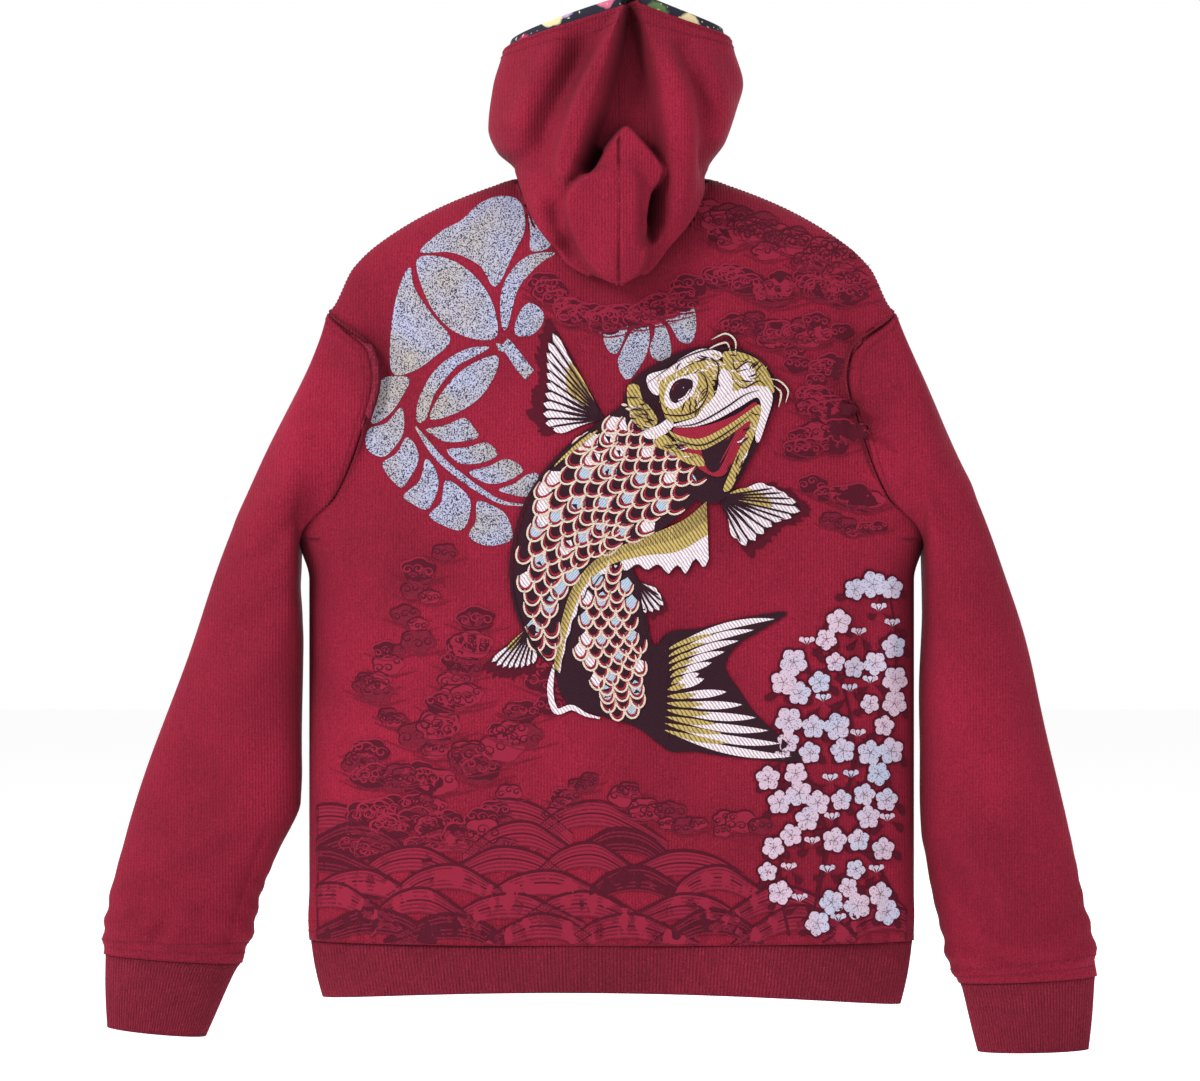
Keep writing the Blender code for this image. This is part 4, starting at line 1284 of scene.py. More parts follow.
@dataclass
class Hood:
    """The raised hood: two panels sewn along the middle, with their floral linings.

    Attributes:
        cloth: thickness of the outer panels.
        lining: thickness of the linings.
        peak: place across, as a share of the half width, and height of the rim's peak.
        rim_side: height of the rim at the sides.
        rim_front: height of the rim at its front ends.
        back_depth: depth of the back.
        front_depth: depth of the front.
        top_depth: depth at the rim.
        turn: the face opening's edge in degrees from the back seam.
        roll: radius of the folded foot.
        tuck: how far the drooping foot falls back against the body.
        proud: how far the lining shows above the rim.
        seam_shift: how far the middle seam has slid to the right.
        full: depth behind which folds begin to press flat.
        room: how much further back the fullest fold can reach.
        stand: how much fuller the ridges are than their own heights say.
        sink: the same for the hollows.
        cells: points along and across one side's grid.
        spread: how far from the middle the seam's shift is felt.
        fade: where the folds start to die away towards the front, and over how much, in quarter turns.
        clear: cells over which the lining takes the lowest relief.
    """

    cloth: float = 3.0 * MM
    lining: float = 1.5 * MM
    peak: Point2 = (0.15, 0.15)
    rim_side: float = 0.115
    rim_front: float = 0.04
    back_depth: float = 0.085
    front_depth: float = 0.055
    top_depth: float = 0.062
    turn: float = 130.0
    roll: float = 4.5 * MM
    tuck: float = 18.0 * MM
    proud: float = 0.009
    seam_shift: float = 6.0 * MM
    full: float = -0.088
    room: float = 0.01
    stand: float = 1.2
    sink: float = 1.75
    cells: int = 170
    spread: float = 0.03
    fade: Point2 = (0.75, 0.3)
    clear: int = 3

    folds: tuple[Fold | Lobe, ...] = (
        # hollow that runs from the peak down behind the collapsed crown
        Lobe(((0.015, 0.148), (0.029, 0.108), (0.039, 0.064), (0.044, 0.02), (0.045, -0.012),
            (0.034, -0.05), (0.022, -0.046),
              (0.018, 0.0), (-0.008, 0.004), (-0.022, 0.004), (-0.017, 0.034), (-0.006, 0.066),
              (0.004, 0.104)), -12 * MM, 0.012),
        # full ridge left of it, which ends in a rounded bulb
        Lobe(((0.01, 0.144), (0.001, 0.1), (-0.01, 0.066), (-0.021, 0.034), (-0.027, 0.008),
            (-0.034, -0.004), (-0.043, 0.0),
              (-0.046, 0.016), (-0.038, 0.046), (-0.025, 0.082), (-0.006, 0.118)), 10 * MM, 0.012),
        # crown that has fallen in as a four-sided knob, and the droop below it
        Lobe(((0.0125, 0.044), (0.027, 0.031), (0.0435, 0.008), (0.036, -0.018), (0.031, -0.046),
            (0.024, -0.075), (0.006, -0.094),
              (-0.016, -0.076), (-0.03, -0.048), (-0.035, -0.016), (-0.018, 0.006), (-0.001, 0.032)),
              15 * MM, 0.009),
        Fold(((-0.01, 0.026), (-0.019, 0.012), (-0.026, 0.004)), -7 * MM, 0.006, 0.2),
        Fold(((0.041, -0.004), (0.037, -0.024), (0.034, -0.046)), -8 * MM, 0.006, 0.3),
        Fold(((0.006, 0.034), (0.006, -0.02), (0.006, -0.091)), 5 * MM, 0.015, 0.15),
        Fold(((0.03, 0.134), (0.05, 0.092), (0.06, 0.05), (0.061, 0.01), (0.053, -0.03), (0.04, -0.062)),
            7 * MM, 0.012, 0.2),
        Fold(((0.06, 0.115), (0.084, 0.085), (0.094, 0.05)), 4.5 * MM, 0.011, 0.3),
        Fold(((0.048, 0.126), (0.074, 0.08), (0.08, 0.03), (0.07, -0.012)), -5 * MM, 0.01, 0.25),
        Fold(((-0.018, 0.132), (-0.036, 0.09), (-0.058, 0.045), (-0.066, 0.004)), -7 * MM, 0.012, 0.2),
        Fold(((-0.04, 0.124), (-0.062, 0.08), (-0.082, 0.03)), 5 * MM, 0.014, 0.25),
        Fold(((-0.052, -0.014), (-0.046, -0.044), (-0.026, -0.07)), -4.5 * MM, 0.008, 0.3),
        Fold(((-0.064, -0.006), (-0.056, -0.034), (-0.04, -0.06)), 4.5 * MM, 0.009, 0.3),
        Fold(((0.006, 0.036), (0.006, -0.02), (0.006, -0.091)), -2.0 * MM, 0.0016, 0.05),
    )
    ripple: Ripple = field(default_factory=lambda: Ripple(1.1 * MM, 0.09, 12))

    def __post_init__(self) -> None:
        """Prepares the foot's and the sides' curves."""
        self.foot = SmoothCurve(((0, -0.094), (20, -0.083), (40, -0.055), (60, -0.026), (80, 0.005),
            (95, 0.012), (130, 0.01)))
        self.halves = {
            Side.LEFT: SmoothCurve(((-0.02, 0.083), (0.013, 0.083), (0.03, 0.099), (0.048, 0.106),
                                    (0.084, 0.102), (0.115, 0.093), (0.15, 0.086))),
            Side.RIGHT: SmoothCurve(((-0.02, 0.083), (0.013, 0.083), (0.038, 0.098), (0.067, 0.108),
                                     (0.086, 0.113), (0.115, 0.105), (0.15, 0.097))),
        }

    def rim(self, turn: Array) -> Array:
        """Returns the height of the face opening's edge."""
        fall = np.abs(np.sin(np.radians(turn)) - self.peak[0]) / (1 + abs(self.peak[0]))
        back = self.peak[1] - (self.peak[1] - self.rim_side) * fall
        front = (
            self.rim_side + (self.rim_front - self.rim_side) * ease((np.abs(turn) - 90) / (self.turn - 90))
        )
        return np.where(np.abs(turn) <= 90, back, front)

    def wall(self, turn: Array, rise: Array, side: Side) -> Array:
        """Returns points of the smooth wall; turn in degrees from the back seam, rise from foot to rim."""
        angle = np.radians(turn)
        foot = self.foot(np.abs(turn))
        z = foot + (self.rim(turn) - foot) * rise
        half = self.halves[side](z)
        reach = np.where(np.abs(turn) <= 90, self.back_depth, self.front_depth)
        depth = reach + (self.top_depth - reach) * ease((z - 0.03) / (self.peak[1] - 0.03))
        droop = self.tuck * ease((-0.008 - z) / 0.08)
        y = -np.sign(np.cos(angle)) * depth * np.abs(np.cos(angle)) ** 0.6 + droop * (np.abs(turn) < 90)
        return np.stack([half * np.sin(angle), y, z], axis=-1)

    def panel(self, side: Side, first: float, proud: float, inset: float) -> Array:
        """Returns the grid of one side's folded wall.

        Args:
            side: which side.
            first: share of the rise where it starts.
            proud: how far it stands above the rim.
            inset: how far inside the outer face it lies.

        Returns:
            Rows of points, foot to rim, with outward normals.
        """
        turns = side.value * self.turn * np.linspace(0, 1, self.cells) ** 1.25
        last = 1 + proud / (self.rim(turns) - self.foot(np.abs(turns)))
        rise = first + (last - first) * np.linspace(0, 1, self.cells)[:, None]
        turn = np.broadcast_to(turns, (self.cells, self.cells))
        grid = self.wall(turn, rise, side)
        grid[..., 0] += self.seam_shift * np.exp(-((grid[..., 0] / self.spread) ** 2)) * (np.abs(turn) < 90)
        flip = side is Side.LEFT
        grid = grid[:, ::-1] if flip else grid
        around = (np.abs(turn[:, ::-1]) if flip else np.abs(turn)) / 90
        x, z = grid[..., 0], grid[..., 2]
        relief = relief_of(self.folds, x, z)
        relief = relief * np.where(relief > 0, self.stand, self.sink) + self.ripple.relief(x, z)
        relief = relief * (1 - ease((around - self.fade[0]) / self.fade[1]))
        if inset:
            # the lining keeps clear of the steep sides of the folds
            for axis in (0, 1):
                margin = [(self.clear, self.clear) if axis == k else (0, 0) for k in (0, 1)]
                wide = np.pad(relief, margin, mode="edge")
                count = relief.shape[axis]
                near = [np.take(wide, np.arange(k, k + count), axis) for k in range(2 * self.clear + 1)]
                relief = np.min(near, axis=0)
        normals = normals_of(grid)
        placed = grid + normals * relief[..., None]
        # the fullest folds press flat instead of standing out further
        over = np.maximum(self.full - placed[..., 1], 0.0)
        placed[..., 1] = np.where(over > 0, self.full - self.room * np.tanh(over / self.room),
            placed[..., 1])
        return placed - normals * inset

    def rolled_foot(self, grid: Array) -> Array:
        """Returns the grid with its foot folded under in a soft roll."""
        out = normals_of(grid)[0]
        down = grid[0] - grid[3]
        down /= np.linalg.norm(down, axis=1, keepdims=True)
        angles = np.linspace(0, np.pi * 0.95, 12)[:0:-1, None, None]
        rows = grid[0] - out * self.roll * (1 - np.cos(angles)) + down * self.roll * np.sin(angles)
        return np.vstack([rows, grid])

    def build(self) -> None:
        """Builds the panels, the linings and the stitching."""
        thread = Bundle()
        for side in Side:
            flip = side is Side.LEFT
            grid = self.panel(side, 0.03, 0.0, 0.0)
            centre = -1 if flip else 0
            grid[:, centre, 0] += side.value * 0.15 * MM
            outer = self.rolled_foot(grid)
            piece = cloth_piece(f"hood_{side.word}_piece", outer, FLEECE, self.cloth)
            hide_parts(f"hood_{side.word}_panel")
            inner = self.panel(side, 0.34, self.proud, self.cloth + 1.1 * MM)
            lining = cloth_piece(f"hood_{side.word}_lining_piece", inner, LINING, self.lining)
            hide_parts(f"hood_lining_{side.word}")
            lift = normals_of(grid) * 0.25 * MM
            for row in (-4, -12):
                stitches(thread, (grid + lift)[row])
            for made in (piece, lining):
                self.bend(made)
        made = mesh_object("hood_stitching", np.vstack(thread.points), thread.faces, SEAM_THREAD)
        self.bend(made)
        log.info("hood built")

    def bend(self, piece: bpy.types.Object) -> None:
        """Bakes a piece's place into its mesh."""
        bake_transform(piece)


@dataclass
class Zip:
    """The front zip: tapes, moulded metal teeth, stops, pin, box, slider and pull.

    Attributes:
        pitch: distance from tooth to tooth on one side.
        width: how far a tooth reaches across; not used.
    """

    pitch: float = 2.9 * MM
    width: float = 4.0 * MM

    def build(self) -> None:
        """Dresses the frame's zip pieces and builds the teeth and the tapes."""
        for name in ("zip_slider", "zip_pull", "zip_retainer_box", "zip_pin", "zip_top_stop_left",
                "zip_top_stop_right"):
            materials = frame["nodes"][name].data.materials
            materials.clear()
            materials.append(BRASS.material())
        for side in Side:
            (x0, y0, z0), (x1, y1, z1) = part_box(f"zip_teeth_{side.word}")
            near, far = (x0, x1) if side is Side.RIGHT else (x1, x0)
            offset = 0.0 if side is Side.RIGHT else self.pitch / 2
            teeth = Bundle()
            for i in range(int((z1 - z0 - self.pitch) / self.pitch)):
                self.tooth(teeth, near, far, (y0, y1), z0 + self.pitch * (i + 0.5) + offset)
            made = teeth.build(f"zip_{side.word}_tooth_row", BRASS, TORSO)
            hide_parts(f"zip_teeth_{side.word}")
            (x0, y0, z0), (x1, y1, z1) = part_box(f"zip_tape_{side.word}")
            x, z = np.meshgrid(np.linspace(x0, x1, 10), np.linspace(z0, z1, 200))
            bead = 0.5 * MM * np.exp(-(((x - (x0 if side is Side.RIGHT else x1)) / (1.2 * MM)) ** 2))
            grid = np.stack([x, y1 + bead, z], axis=-1)[:, ::-1]
            tape = cloth_piece(f"zip_{side.word}_tape", grid, TAPE, 0.7 * MM)
            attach(tape, TORSO)
            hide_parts(f"zip_tape_{side.word}")
        log.info("zip built")

    def tooth(self, row: Bundle, near: float, far: float, span: Point2, z: float) -> None:
        """Adds one tooth: a clamp on the tape that narrows to a rounded head."""
        y0, y1 = span
        reach = near - far
        points = []
        for share, tall, deep in ((0.0, 0.42, 0.75), (0.35, 0.4, 1.0), (0.6, 0.26, 0.95),
                (0.9, 0.34, 0.9), (1.0, 0.2, 0.6)):
            x, up = far + reach * share, tall * self.pitch
            middle, half = (y0 + y1) / 2, (y1 - y0) / 2 * deep
            points += [(x, middle - half, z - up), (x, middle + half, z - up),
                (x, middle + half, z + up), (x, middle - half, z + up)]
        faces = (
            [tuple(4 * i + j for j in pair) for i in range(4)
                for pair in ((0, 1, 5, 4), (1, 2, 6, 5), (2, 3, 7, 6), (3, 0, 4, 7))]
        )
        faces += [(3, 2, 1, 0), (16, 17, 18, 19)]
        if near < far:
            faces = [face[::-1] for face in faces]
        row.add(np.array(points), faces)


# ------------------------------------------------------------------ the picture on the back
class Ink(Enum):
    """The picture's colours: the first five are printed or dyed, the rest stitched."""

    PALE = SpeckledPrint("pale_speckled_ink", "sweatshirt_fleece", "#B2B4CE", 0.85)
    DARK = FlatInk("maroon_cloud_dye", "sweatshirt_fleece", "#4E0C20", 0.9)
    CLOTH = FlatInk("bare_cloth", "sweatshirt_fleece", "#8E1F38", 0.9)
    LINE = FlatInk("thin_maroon_line_dye", "sweatshirt_fleece", "#661429", 0.9, cover=0.62)
    BLOSSOM = SpeckledPrint("blossom_ink", "sweatshirt_fleece", "#D2BACC", 0.85, speck="#6A3A58",
        stain="#B9C0D8", cover=0.4)
    PLUM = StitchedThread("plum_thread", "embroidery_thread", "#320C1E", 0.75, shade="#18060E")
    CREAM = StitchedThread("cream_thread", "embroidery_thread", "#F0E4EA", 0.6, shade="#9C8490", pitch=1.3)
    GOLD = StitchedThread("olive_gold_thread", "embroidery_thread", "#C4AC66", 0.6, shade="#5E4626",
        pitch=1.5)
    BLUE = StitchedThread("ice_blue_thread", "embroidery_thread", "#BACADC", 0.55, shade="#7A88A0",
        lean=-40.0)
    RED = StitchedThread("scarlet_thread", "embroidery_thread", "#A81C38", 0.6, shade="#5E0C1E")
    RIM = StitchedThread("ivory_cord_thread", "embroidery_thread", "#EAD9C8", 0.5, shade="#B08C78",
        pitch=0.7, lean=70.0)


def lift_of(layer: float) -> float:
    """Returns how far above the cloth a layer lies; the first is 0.30 mm up, each next one 0.22 mm more."""
    return (0.3 + 0.22 * layer) * MM


class Artist:
    """Lays flat shapes on the back and gathers them by colour.

    Each later layer lies a little higher, as ink on cloth or thread on thread does.
    """

    def __init__(self, back: Surface) -> None:
        """Args: back: the surface that is decorated."""
        self.back = back
        self.bundles = {ink: Bundle() for ink in Ink}

    def fill(self, ink: Ink, outline: Array, layer: int, raised: float = 0.0,
            spacing: float = 7 * MM) -> None:
        """Fills an outline.

        Args:
            ink: its colour.
            outline: its points, one row each.
            layer: which layer, from 0.
            raised: how far its middle stands above its edge.
            spacing: distance between the points inside it.
        """
        outline = np.asarray(outline, float)
        keep = np.linalg.norm(outline - np.roll(outline, 1, axis=0), axis=1) > 0.05 * MM
        outline = outline[keep]
        if len(outline) < 3:
            return
        low, high = outline.min(axis=0), outline.max(axis=0)
        inner = [
            (x, z)
            for x in np.arange(low[0] + spacing / 2, high[0], spacing)
            for z in np.arange(low[1] + spacing / 2, high[1], spacing)
        ]
        ring = list(range(len(outline)))
        points, _, faces, *_ = delaunay_2d_cdt([Vector(p) for p in [*map(tuple, outline), *inner]], [],
            [ring], 1, 1e-7)
        used = sorted({i for face in faces for i in face})
        number = {old: new for new, old in enumerate(used)}
        flat = np.array([points[i][:] for i in used])
        if not len(flat):
            return
        lift = np.full(len(flat), lift_of(layer))
        if raised:
            gap = np.min(np.linalg.norm(flat[:, None] - outline[None], axis=2), axis=1)
            lift += raised * ease(gap / (2.5 * MM))
        self.bundles[ink].add(self.back.lay(flat, lift), [[number[i] for i in face] for face in faces])

    def stroke(self, ink: Ink, path: Array, width: float, layer: int,
            taper: tuple[float, float] = (0.3, 0.3)) -> None:
        """Draws a line whose ends thin out.

        Args:
            ink: its colour.
            path: its points, one row each.
            width: its full width.
            layer: which layer, from 0.
            taper: share of its length over which its start and its end thin out.
        """
        path = np.asarray(path, float)
        ahead = np.gradient(path, axis=0)
        side = left_of(ahead) / np.maximum(np.linalg.norm(ahead, axis=1), 1e-9)[:, None]
        share = np.linspace(0, 1, len(path))
        start, end = (np.clip(s / max(t, 1e-6), 0.12, 1) for s, t in zip((share, 1 - share), taper))
        half = (width / 2 * np.sqrt(start * end))[:, None]
        lift = lift_of(layer)
        rows = np.stack([self.back.lay(path - side * half, lift),
            self.back.lay(path + side * half, lift)], axis=1)
        self.bundles[ink].add(rows.reshape(-1, 3), grid_faces(len(path), 2))

    def finish(self) -> None:
        """Builds one piece for each colour."""
        for ink, bundle in self.bundles.items():
            bundle.build(f"picture_{ink.value.name}", ink.value, TORSO)
            log.info("picture: %s, %d points", ink.value.name, bundle.count)


def turned(points: Array, angle: float, place: Point2, size: float = 1.0) -> Array:
    """Returns points scaled, turned and moved."""
    c, s = math.cos(angle), math.sin(angle)
    return np.asarray(points) @ np.array([[c, s], [-s, c]]) * size + np.array(place)


def leaf(root: Point2, tip: Point2, width: float, lean: float = 0.0, blunt: float = 0.8) -> Array:
    """Returns a leaf's outline.

    Args:
        root: where it starts.
        tip: where it ends.
        width: its full width.
        lean: how far its middle line bows to the left of root to tip, as a share of its length.
        blunt: where its widest place is, from root to tip; under 0.5 nearer the root.

    Returns:
        Its points.
    """
    root, tip = np.array(root), np.array(tip)
    along = tip - root
    across = np.array([-along[1], along[0]])
    t = np.linspace(0, 1, 15)[:, None]
    middle = root + along * t + across * lean * 4 * t * (1 - t)
    swell = np.sin(np.pi * t ** (math.log(0.5) / math.log(blunt))) ** 0.8
    unit = across / np.linalg.norm(across)
    return np.vstack([middle + unit * width / 2 * swell, (middle - unit * width / 2 * swell)[-2:0:-1]])


@dataclass
class BlossomCrest:
    """Round crest printed in speckled ink: broad petals about a hub, leafed branches that close the ring.

    Attributes:
        grain: distance between the points on a petal's rim.
    """

    grain: float = 4 * MM

    def petal(self, artist: Artist, points: Sequence[Point2]) -> None:
        """Prints one petal through a few points on its rim."""
        artist.fill(Ink.PALE, smooth_path(points, self.grain, True), 0)

    def build(self, artist: Artist) -> None:
        """Prints the crest."""
        for points in (
            # broad upper petals and the ones that show beside the hood
            ((-0.163, -0.059), (-0.146, -0.042), (-0.128, -0.032), (-0.112, -0.017), (-0.094, -0.011),
                (-0.078, -0.017),
             (-0.0735, -0.04), (-0.083, -0.062), (-0.0985, -0.09), (-0.112, -0.072), (-0.136, -0.06)),
            ((-0.166, -0.066), (-0.14, -0.065), (-0.116, -0.081), (-0.101, -0.104), (-0.097, -0.131),
                (-0.112, -0.135),
             (-0.136, -0.126), (-0.156, -0.102)),
            ((-0.172, -0.072), (-0.168, -0.09), (-0.152, -0.114), (-0.137, -0.134), (-0.152, -0.15),
                (-0.172, -0.162),
             (-0.188, -0.16), (-0.188, -0.12), (-0.181, -0.088)),
            ((-0.069, -0.044), (-0.068, -0.06), (-0.052, -0.056), (-0.058, -0.04), (-0.07, -0.026)),
            ((-0.094, -0.098), (-0.086, -0.078), (-0.07, -0.064), (-0.048, -0.062), (-0.062, -0.072),
                (-0.078, -0.09),
             (-0.084, -0.108), (-0.0885, -0.125), (-0.093, -0.124)),
            ((-0.082, -0.13), (-0.079, -0.114), (-0.07, -0.104), (-0.058, -0.112), (-0.06, -0.124),
                (-0.07, -0.132)),
            # crescent and leaf below the hub
            ((-0.104, -0.141), (-0.124, -0.143), (-0.148, -0.158), (-0.163, -0.182), (-0.166, -0.203),
                (-0.158, -0.202),
             (-0.15, -0.18), (-0.132, -0.158), (-0.112, -0.147)),
            ((-0.099, -0.148), (-0.097, -0.16), (-0.11, -0.182), (-0.13, -0.196), (-0.154, -0.202),
                (-0.146, -0.182),
             (-0.126, -0.16)),
        ):
            self.petal(artist, points)
        stub = np.array([(-0.098, -0.138), (-0.092, -0.139), (-0.088, -0.134), (-0.083, -0.139),
            (-0.066, -0.161), (-0.073, -0.169), (-0.081, -0.16), (-0.09, -0.146), (-0.096, -0.144)])
        artist.fill(Ink.PALE, stub, 0)
        stem = ((-0.1667, -0.2084), (-0.1479, -0.2334), (-0.1291, -0.25), (-0.1083, -0.2646),
            (-0.0916, -0.273), (-0.0739, -0.2751))
        artist.stroke(Ink.PALE, smooth_path(stem, 3 * MM), 5.6 * MM, 0, (0.2, 0.5))
        for points in (
            # leaves outside the stem, from the left petal down and round
            ((-0.195, -0.1665), (-0.173, -0.1665), (-0.177, -0.18), (-0.19, -0.198), (-0.205, -0.205),
                (-0.201, -0.184)),
            ((-0.207, -0.21), (-0.192, -0.205), (-0.179, -0.192), (-0.177, -0.212), (-0.186, -0.227),
                (-0.196, -0.234), (-0.209, -0.226)),
            ((-0.195, -0.239), (-0.183, -0.231), (-0.174, -0.217), (-0.165, -0.228), (-0.165, -0.24),
                (-0.172, -0.252), (-0.179, -0.26), (-0.19, -0.25)),
            ((-0.177, -0.267), (-0.163, -0.254), (-0.158, -0.236), (-0.15, -0.244), (-0.147, -0.258),
                (-0.152, -0.273), (-0.158, -0.279), (-0.169, -0.274)),
            ((-0.155, -0.284), (-0.145, -0.273), (-0.141, -0.254), (-0.129, -0.26), (-0.12, -0.271),
                (-0.121, -0.286), (-0.127, -0.296), (-0.139, -0.294)),
            ((-0.121, -0.301), (-0.115, -0.288), (-0.114, -0.272), (-0.1, -0.276), (-0.089, -0.284),
                (-0.084, -0.302), (-0.094, -0.308), (-0.108, -0.309)),
            # leaves inside it
            ((-0.158, -0.2105), (-0.142, -0.2075), (-0.125, -0.201), (-0.118, -0.208), (-0.113, -0.217),
                (-0.127, -0.221), (-0.142, -0.221), (-0.152, -0.215)),
            ((-0.14, -0.228), (-0.123, -0.226), (-0.106, -0.222), (-0.097, -0.232), (-0.11, -0.239),
                (-0.127, -0.24), (-0.134, -0.236)),
            ((-0.121, -0.247), (-0.104, -0.242), (-0.091, -0.236), (-0.081, -0.239), (-0.075, -0.246),
                (-0.087, -0.254), (-0.1, -0.257), (-0.11, -0.255)),
            ((-0.096, -0.262), (-0.083, -0.257), (-0.071, -0.249), (-0.062, -0.249), (-0.067, -0.264),
                (-0.073, -0.268), (-0.085, -0.266)),
            # leaves of the other branch, behind the head
            ((-0.024, -0.112), (-0.01, -0.114), (-0.001, -0.121), (-0.007, -0.13), (-0.017, -0.125)),
            ((-0.007, -0.131), (0.0, -0.124), (0.012, -0.117), (0.013, -0.127), (0.004, -0.147),
                (-0.004, -0.143)),
            ((0.005, -0.154), (0.009, -0.143), (0.017, -0.128), (0.027, -0.12), (0.032, -0.128),
                (0.029, -0.148), (0.016, -0.168), (0.009, -0.166)),
            ((0.037, -0.121), (0.045, -0.124), (0.05, -0.14), (0.048, -0.152), (0.036, -0.152),
                (0.032, -0.142), (0.036, -0.131)),
            ((0.04, -0.11), (0.05, -0.102), (0.062, -0.102), (0.07, -0.11), (0.071, -0.128),
                (0.066, -0.138), (0.057, -0.136), (0.05, -0.124)),
            ((0.014, -0.108), (0.026, -0.104), (0.036, -0.107), (0.034, -0.115), (0.022, -0.114)),
        ):
            self.petal(artist, points)


@dataclass
class ScaledFlank:
    """A stretch of scaled skin, with rows of scales laid like tiles towards the tail.

    Attributes:
        spine: its middle line from head to tail.
        halves: half width at each point of the spine.
        pitch: width of one scale.
        seed: draws the scales' colours.
        reach: length of a scale as a share of the pitch.
    """

    spine: tuple[Point2, ...]
    halves: tuple[float, ...]
    pitch: float
    seed: int
    reach: float = 0.62

    def frame(self, count: int) -> tuple[Array, Array, Array]:
        """Returns points, unit directions and half widths along the spine."""
        line = smooth_path(self.spine, 2 * MM)
        lengths = lengths_along(line)
        at = np.linspace(0, lengths[-1], count)
        points = np.stack([np.interp(at, lengths, line[:, k]) for k in range(2)], axis=1)
        ahead = np.gradient(points, axis=0)
        ahead /= np.linalg.norm(ahead, axis=1, keepdims=True)
        knots = np.linspace(0, 1, len(self.halves))
        return points, ahead, OpenCurve(np.column_stack([knots, self.halves]))(np.linspace(0, 1, count))

    def outline(self) -> Array:
        """Returns the flank's outline."""
        points, ahead, half = self.frame(24)
        side = left_of(ahead) * (half + 1.5 * MM)[:, None]
        return np.vstack([points + side, (points - side)[::-1]])

    def build(self, artist: Artist, layer: int) -> None:
        """Stitches the scales."""
        draw = random.Random(self.seed)
        artist.fill(Ink.PLUM, self.outline(), layer)
        line = smooth_path(self.spine, 2 * MM)
        length = np.linalg.norm(np.diff(line, axis=0), axis=1).sum()
        rows = int(length / (self.pitch * self.reach))
        points, ahead, half = self.frame(rows + 1)
        across = left_of(ahead)
        arc = np.linspace(-np.pi / 2, np.pi / 2, 13)
        for i in range(rows, -1, -1):
            angle = math.atan2(ahead[i, 1], ahead[i, 0])
            columns = int(2 * half[i] / self.pitch) + 2
            for j in range(columns + (i % 2)):
                shift = (j + 0.5 - (columns + (i % 2)) / 2) * self.pitch
                place = points[i] + across[i] * shift
                if abs(shift) > half[i] - self.pitch * 0.42:
                    continue
                # a scale hangs as a pointed arch towards the tail
                arch = np.column_stack([self.pitch * (0.1 + 0.86 * np.cos(arc) ** 0.8),
                    self.pitch * 0.5 * np.sin(arc)])
                shade = self.shade(draw, shift / half[i], i, j)
                tone = turned(np.vstack([[(-0.3 * self.pitch, 0.0)], arch * [0.86, 0.84]]), angle,
                    tuple(place))
                artist.fill(shade, tone, layer + 1, spacing=1.0)
                red = turned(arch * [0.8, 0.78], angle, tuple(place))
                artist.stroke(Ink.RED, red, 1.6 * MM, layer + 2, (0.5, 0.1))
                artist.stroke(Ink.RIM, turned(arch, angle, tuple(place)), 1.7 * MM, layer + 3, (0.08, 0.08))

    def shade(self, draw: random.Random, across: float, i: int, j: int) -> Ink:
        """Returns a scale's own colour: pale along the back, plum and ice blue in turn below."""
        if across < -0.55 and draw.random() < 0.75:
            return Ink.CREAM
        if (i + 2 * j) % 4 == 0:
            return Ink.BLUE if draw.random() < 0.8 else Ink.CREAM
        return Ink.PLUM


@dataclass
class RayFin:
    """A fin: rays that fan out from its root, on a torn-edged dark web.

    Attributes:
        root: where the rays meet.
        tips: points along its free edge.
        rays: how many rays.
        web: how far the dark web shows beyond the rays.
        gilt: which share of the rays starts in gold.
    """

    root: Point2
    tips: tuple[Point2, ...]
    rays: int
    web: float = 0.008
    gilt: float = 0.4

    def build(self, artist: Artist, layer: int) -> None:
        """Stitches the web, then the rays."""
        rim = smooth_path(self.tips, 2 * MM)
        root = np.array(self.root)
        draw = random.Random(self.rays)
        out = rim - root
        out /= np.linalg.norm(out, axis=1, keepdims=True)
        torn = np.array([[draw.uniform(0.5, 1.3)] for _ in rim])
        if self.web:
            artist.fill(Ink.DARK, np.vstack([[root], rim + out * self.web * torn]), 1)
        artist.fill(Ink.PLUM, np.vstack([[root], rim - out * 1.2 * MM]), layer)
        lengths = lengths_along(rim)
        for i in range(self.rays):
            at = lengths[-1] * (i + 0.5) / self.rays
            tip = np.array([np.interp(at, lengths, rim[:, k]) for k in range(2)])
            width = lengths[-1] / self.rays * 0.88
            start = root + (tip - root) * 0.16
            ray = leaf(tuple(start), tuple(tip), width, 0.02, 0.8)
            artist.fill(Ink.CREAM, ray, layer + 1, 0.2 * MM, 4 * MM)
            if i / self.rays < self.gilt:
                artist.fill(Ink.GOLD, leaf(tuple(start), tuple(start + (tip - start) * 0.62),
                    width * 0.62, 0.02, 0.6), layer + 2, spacing=4 * MM)
            if i:
                edge = lengths[-1] * i / self.rays
                gap = np.array([np.interp(edge, lengths, rim[:, k]) for k in range(2)])
                artist.stroke(Ink.PLUM, root + (gap - root) * np.linspace(0.1, 0.97, 9)[:, None],
                    1.7 * MM, layer + 3, (0.05, 0.05))


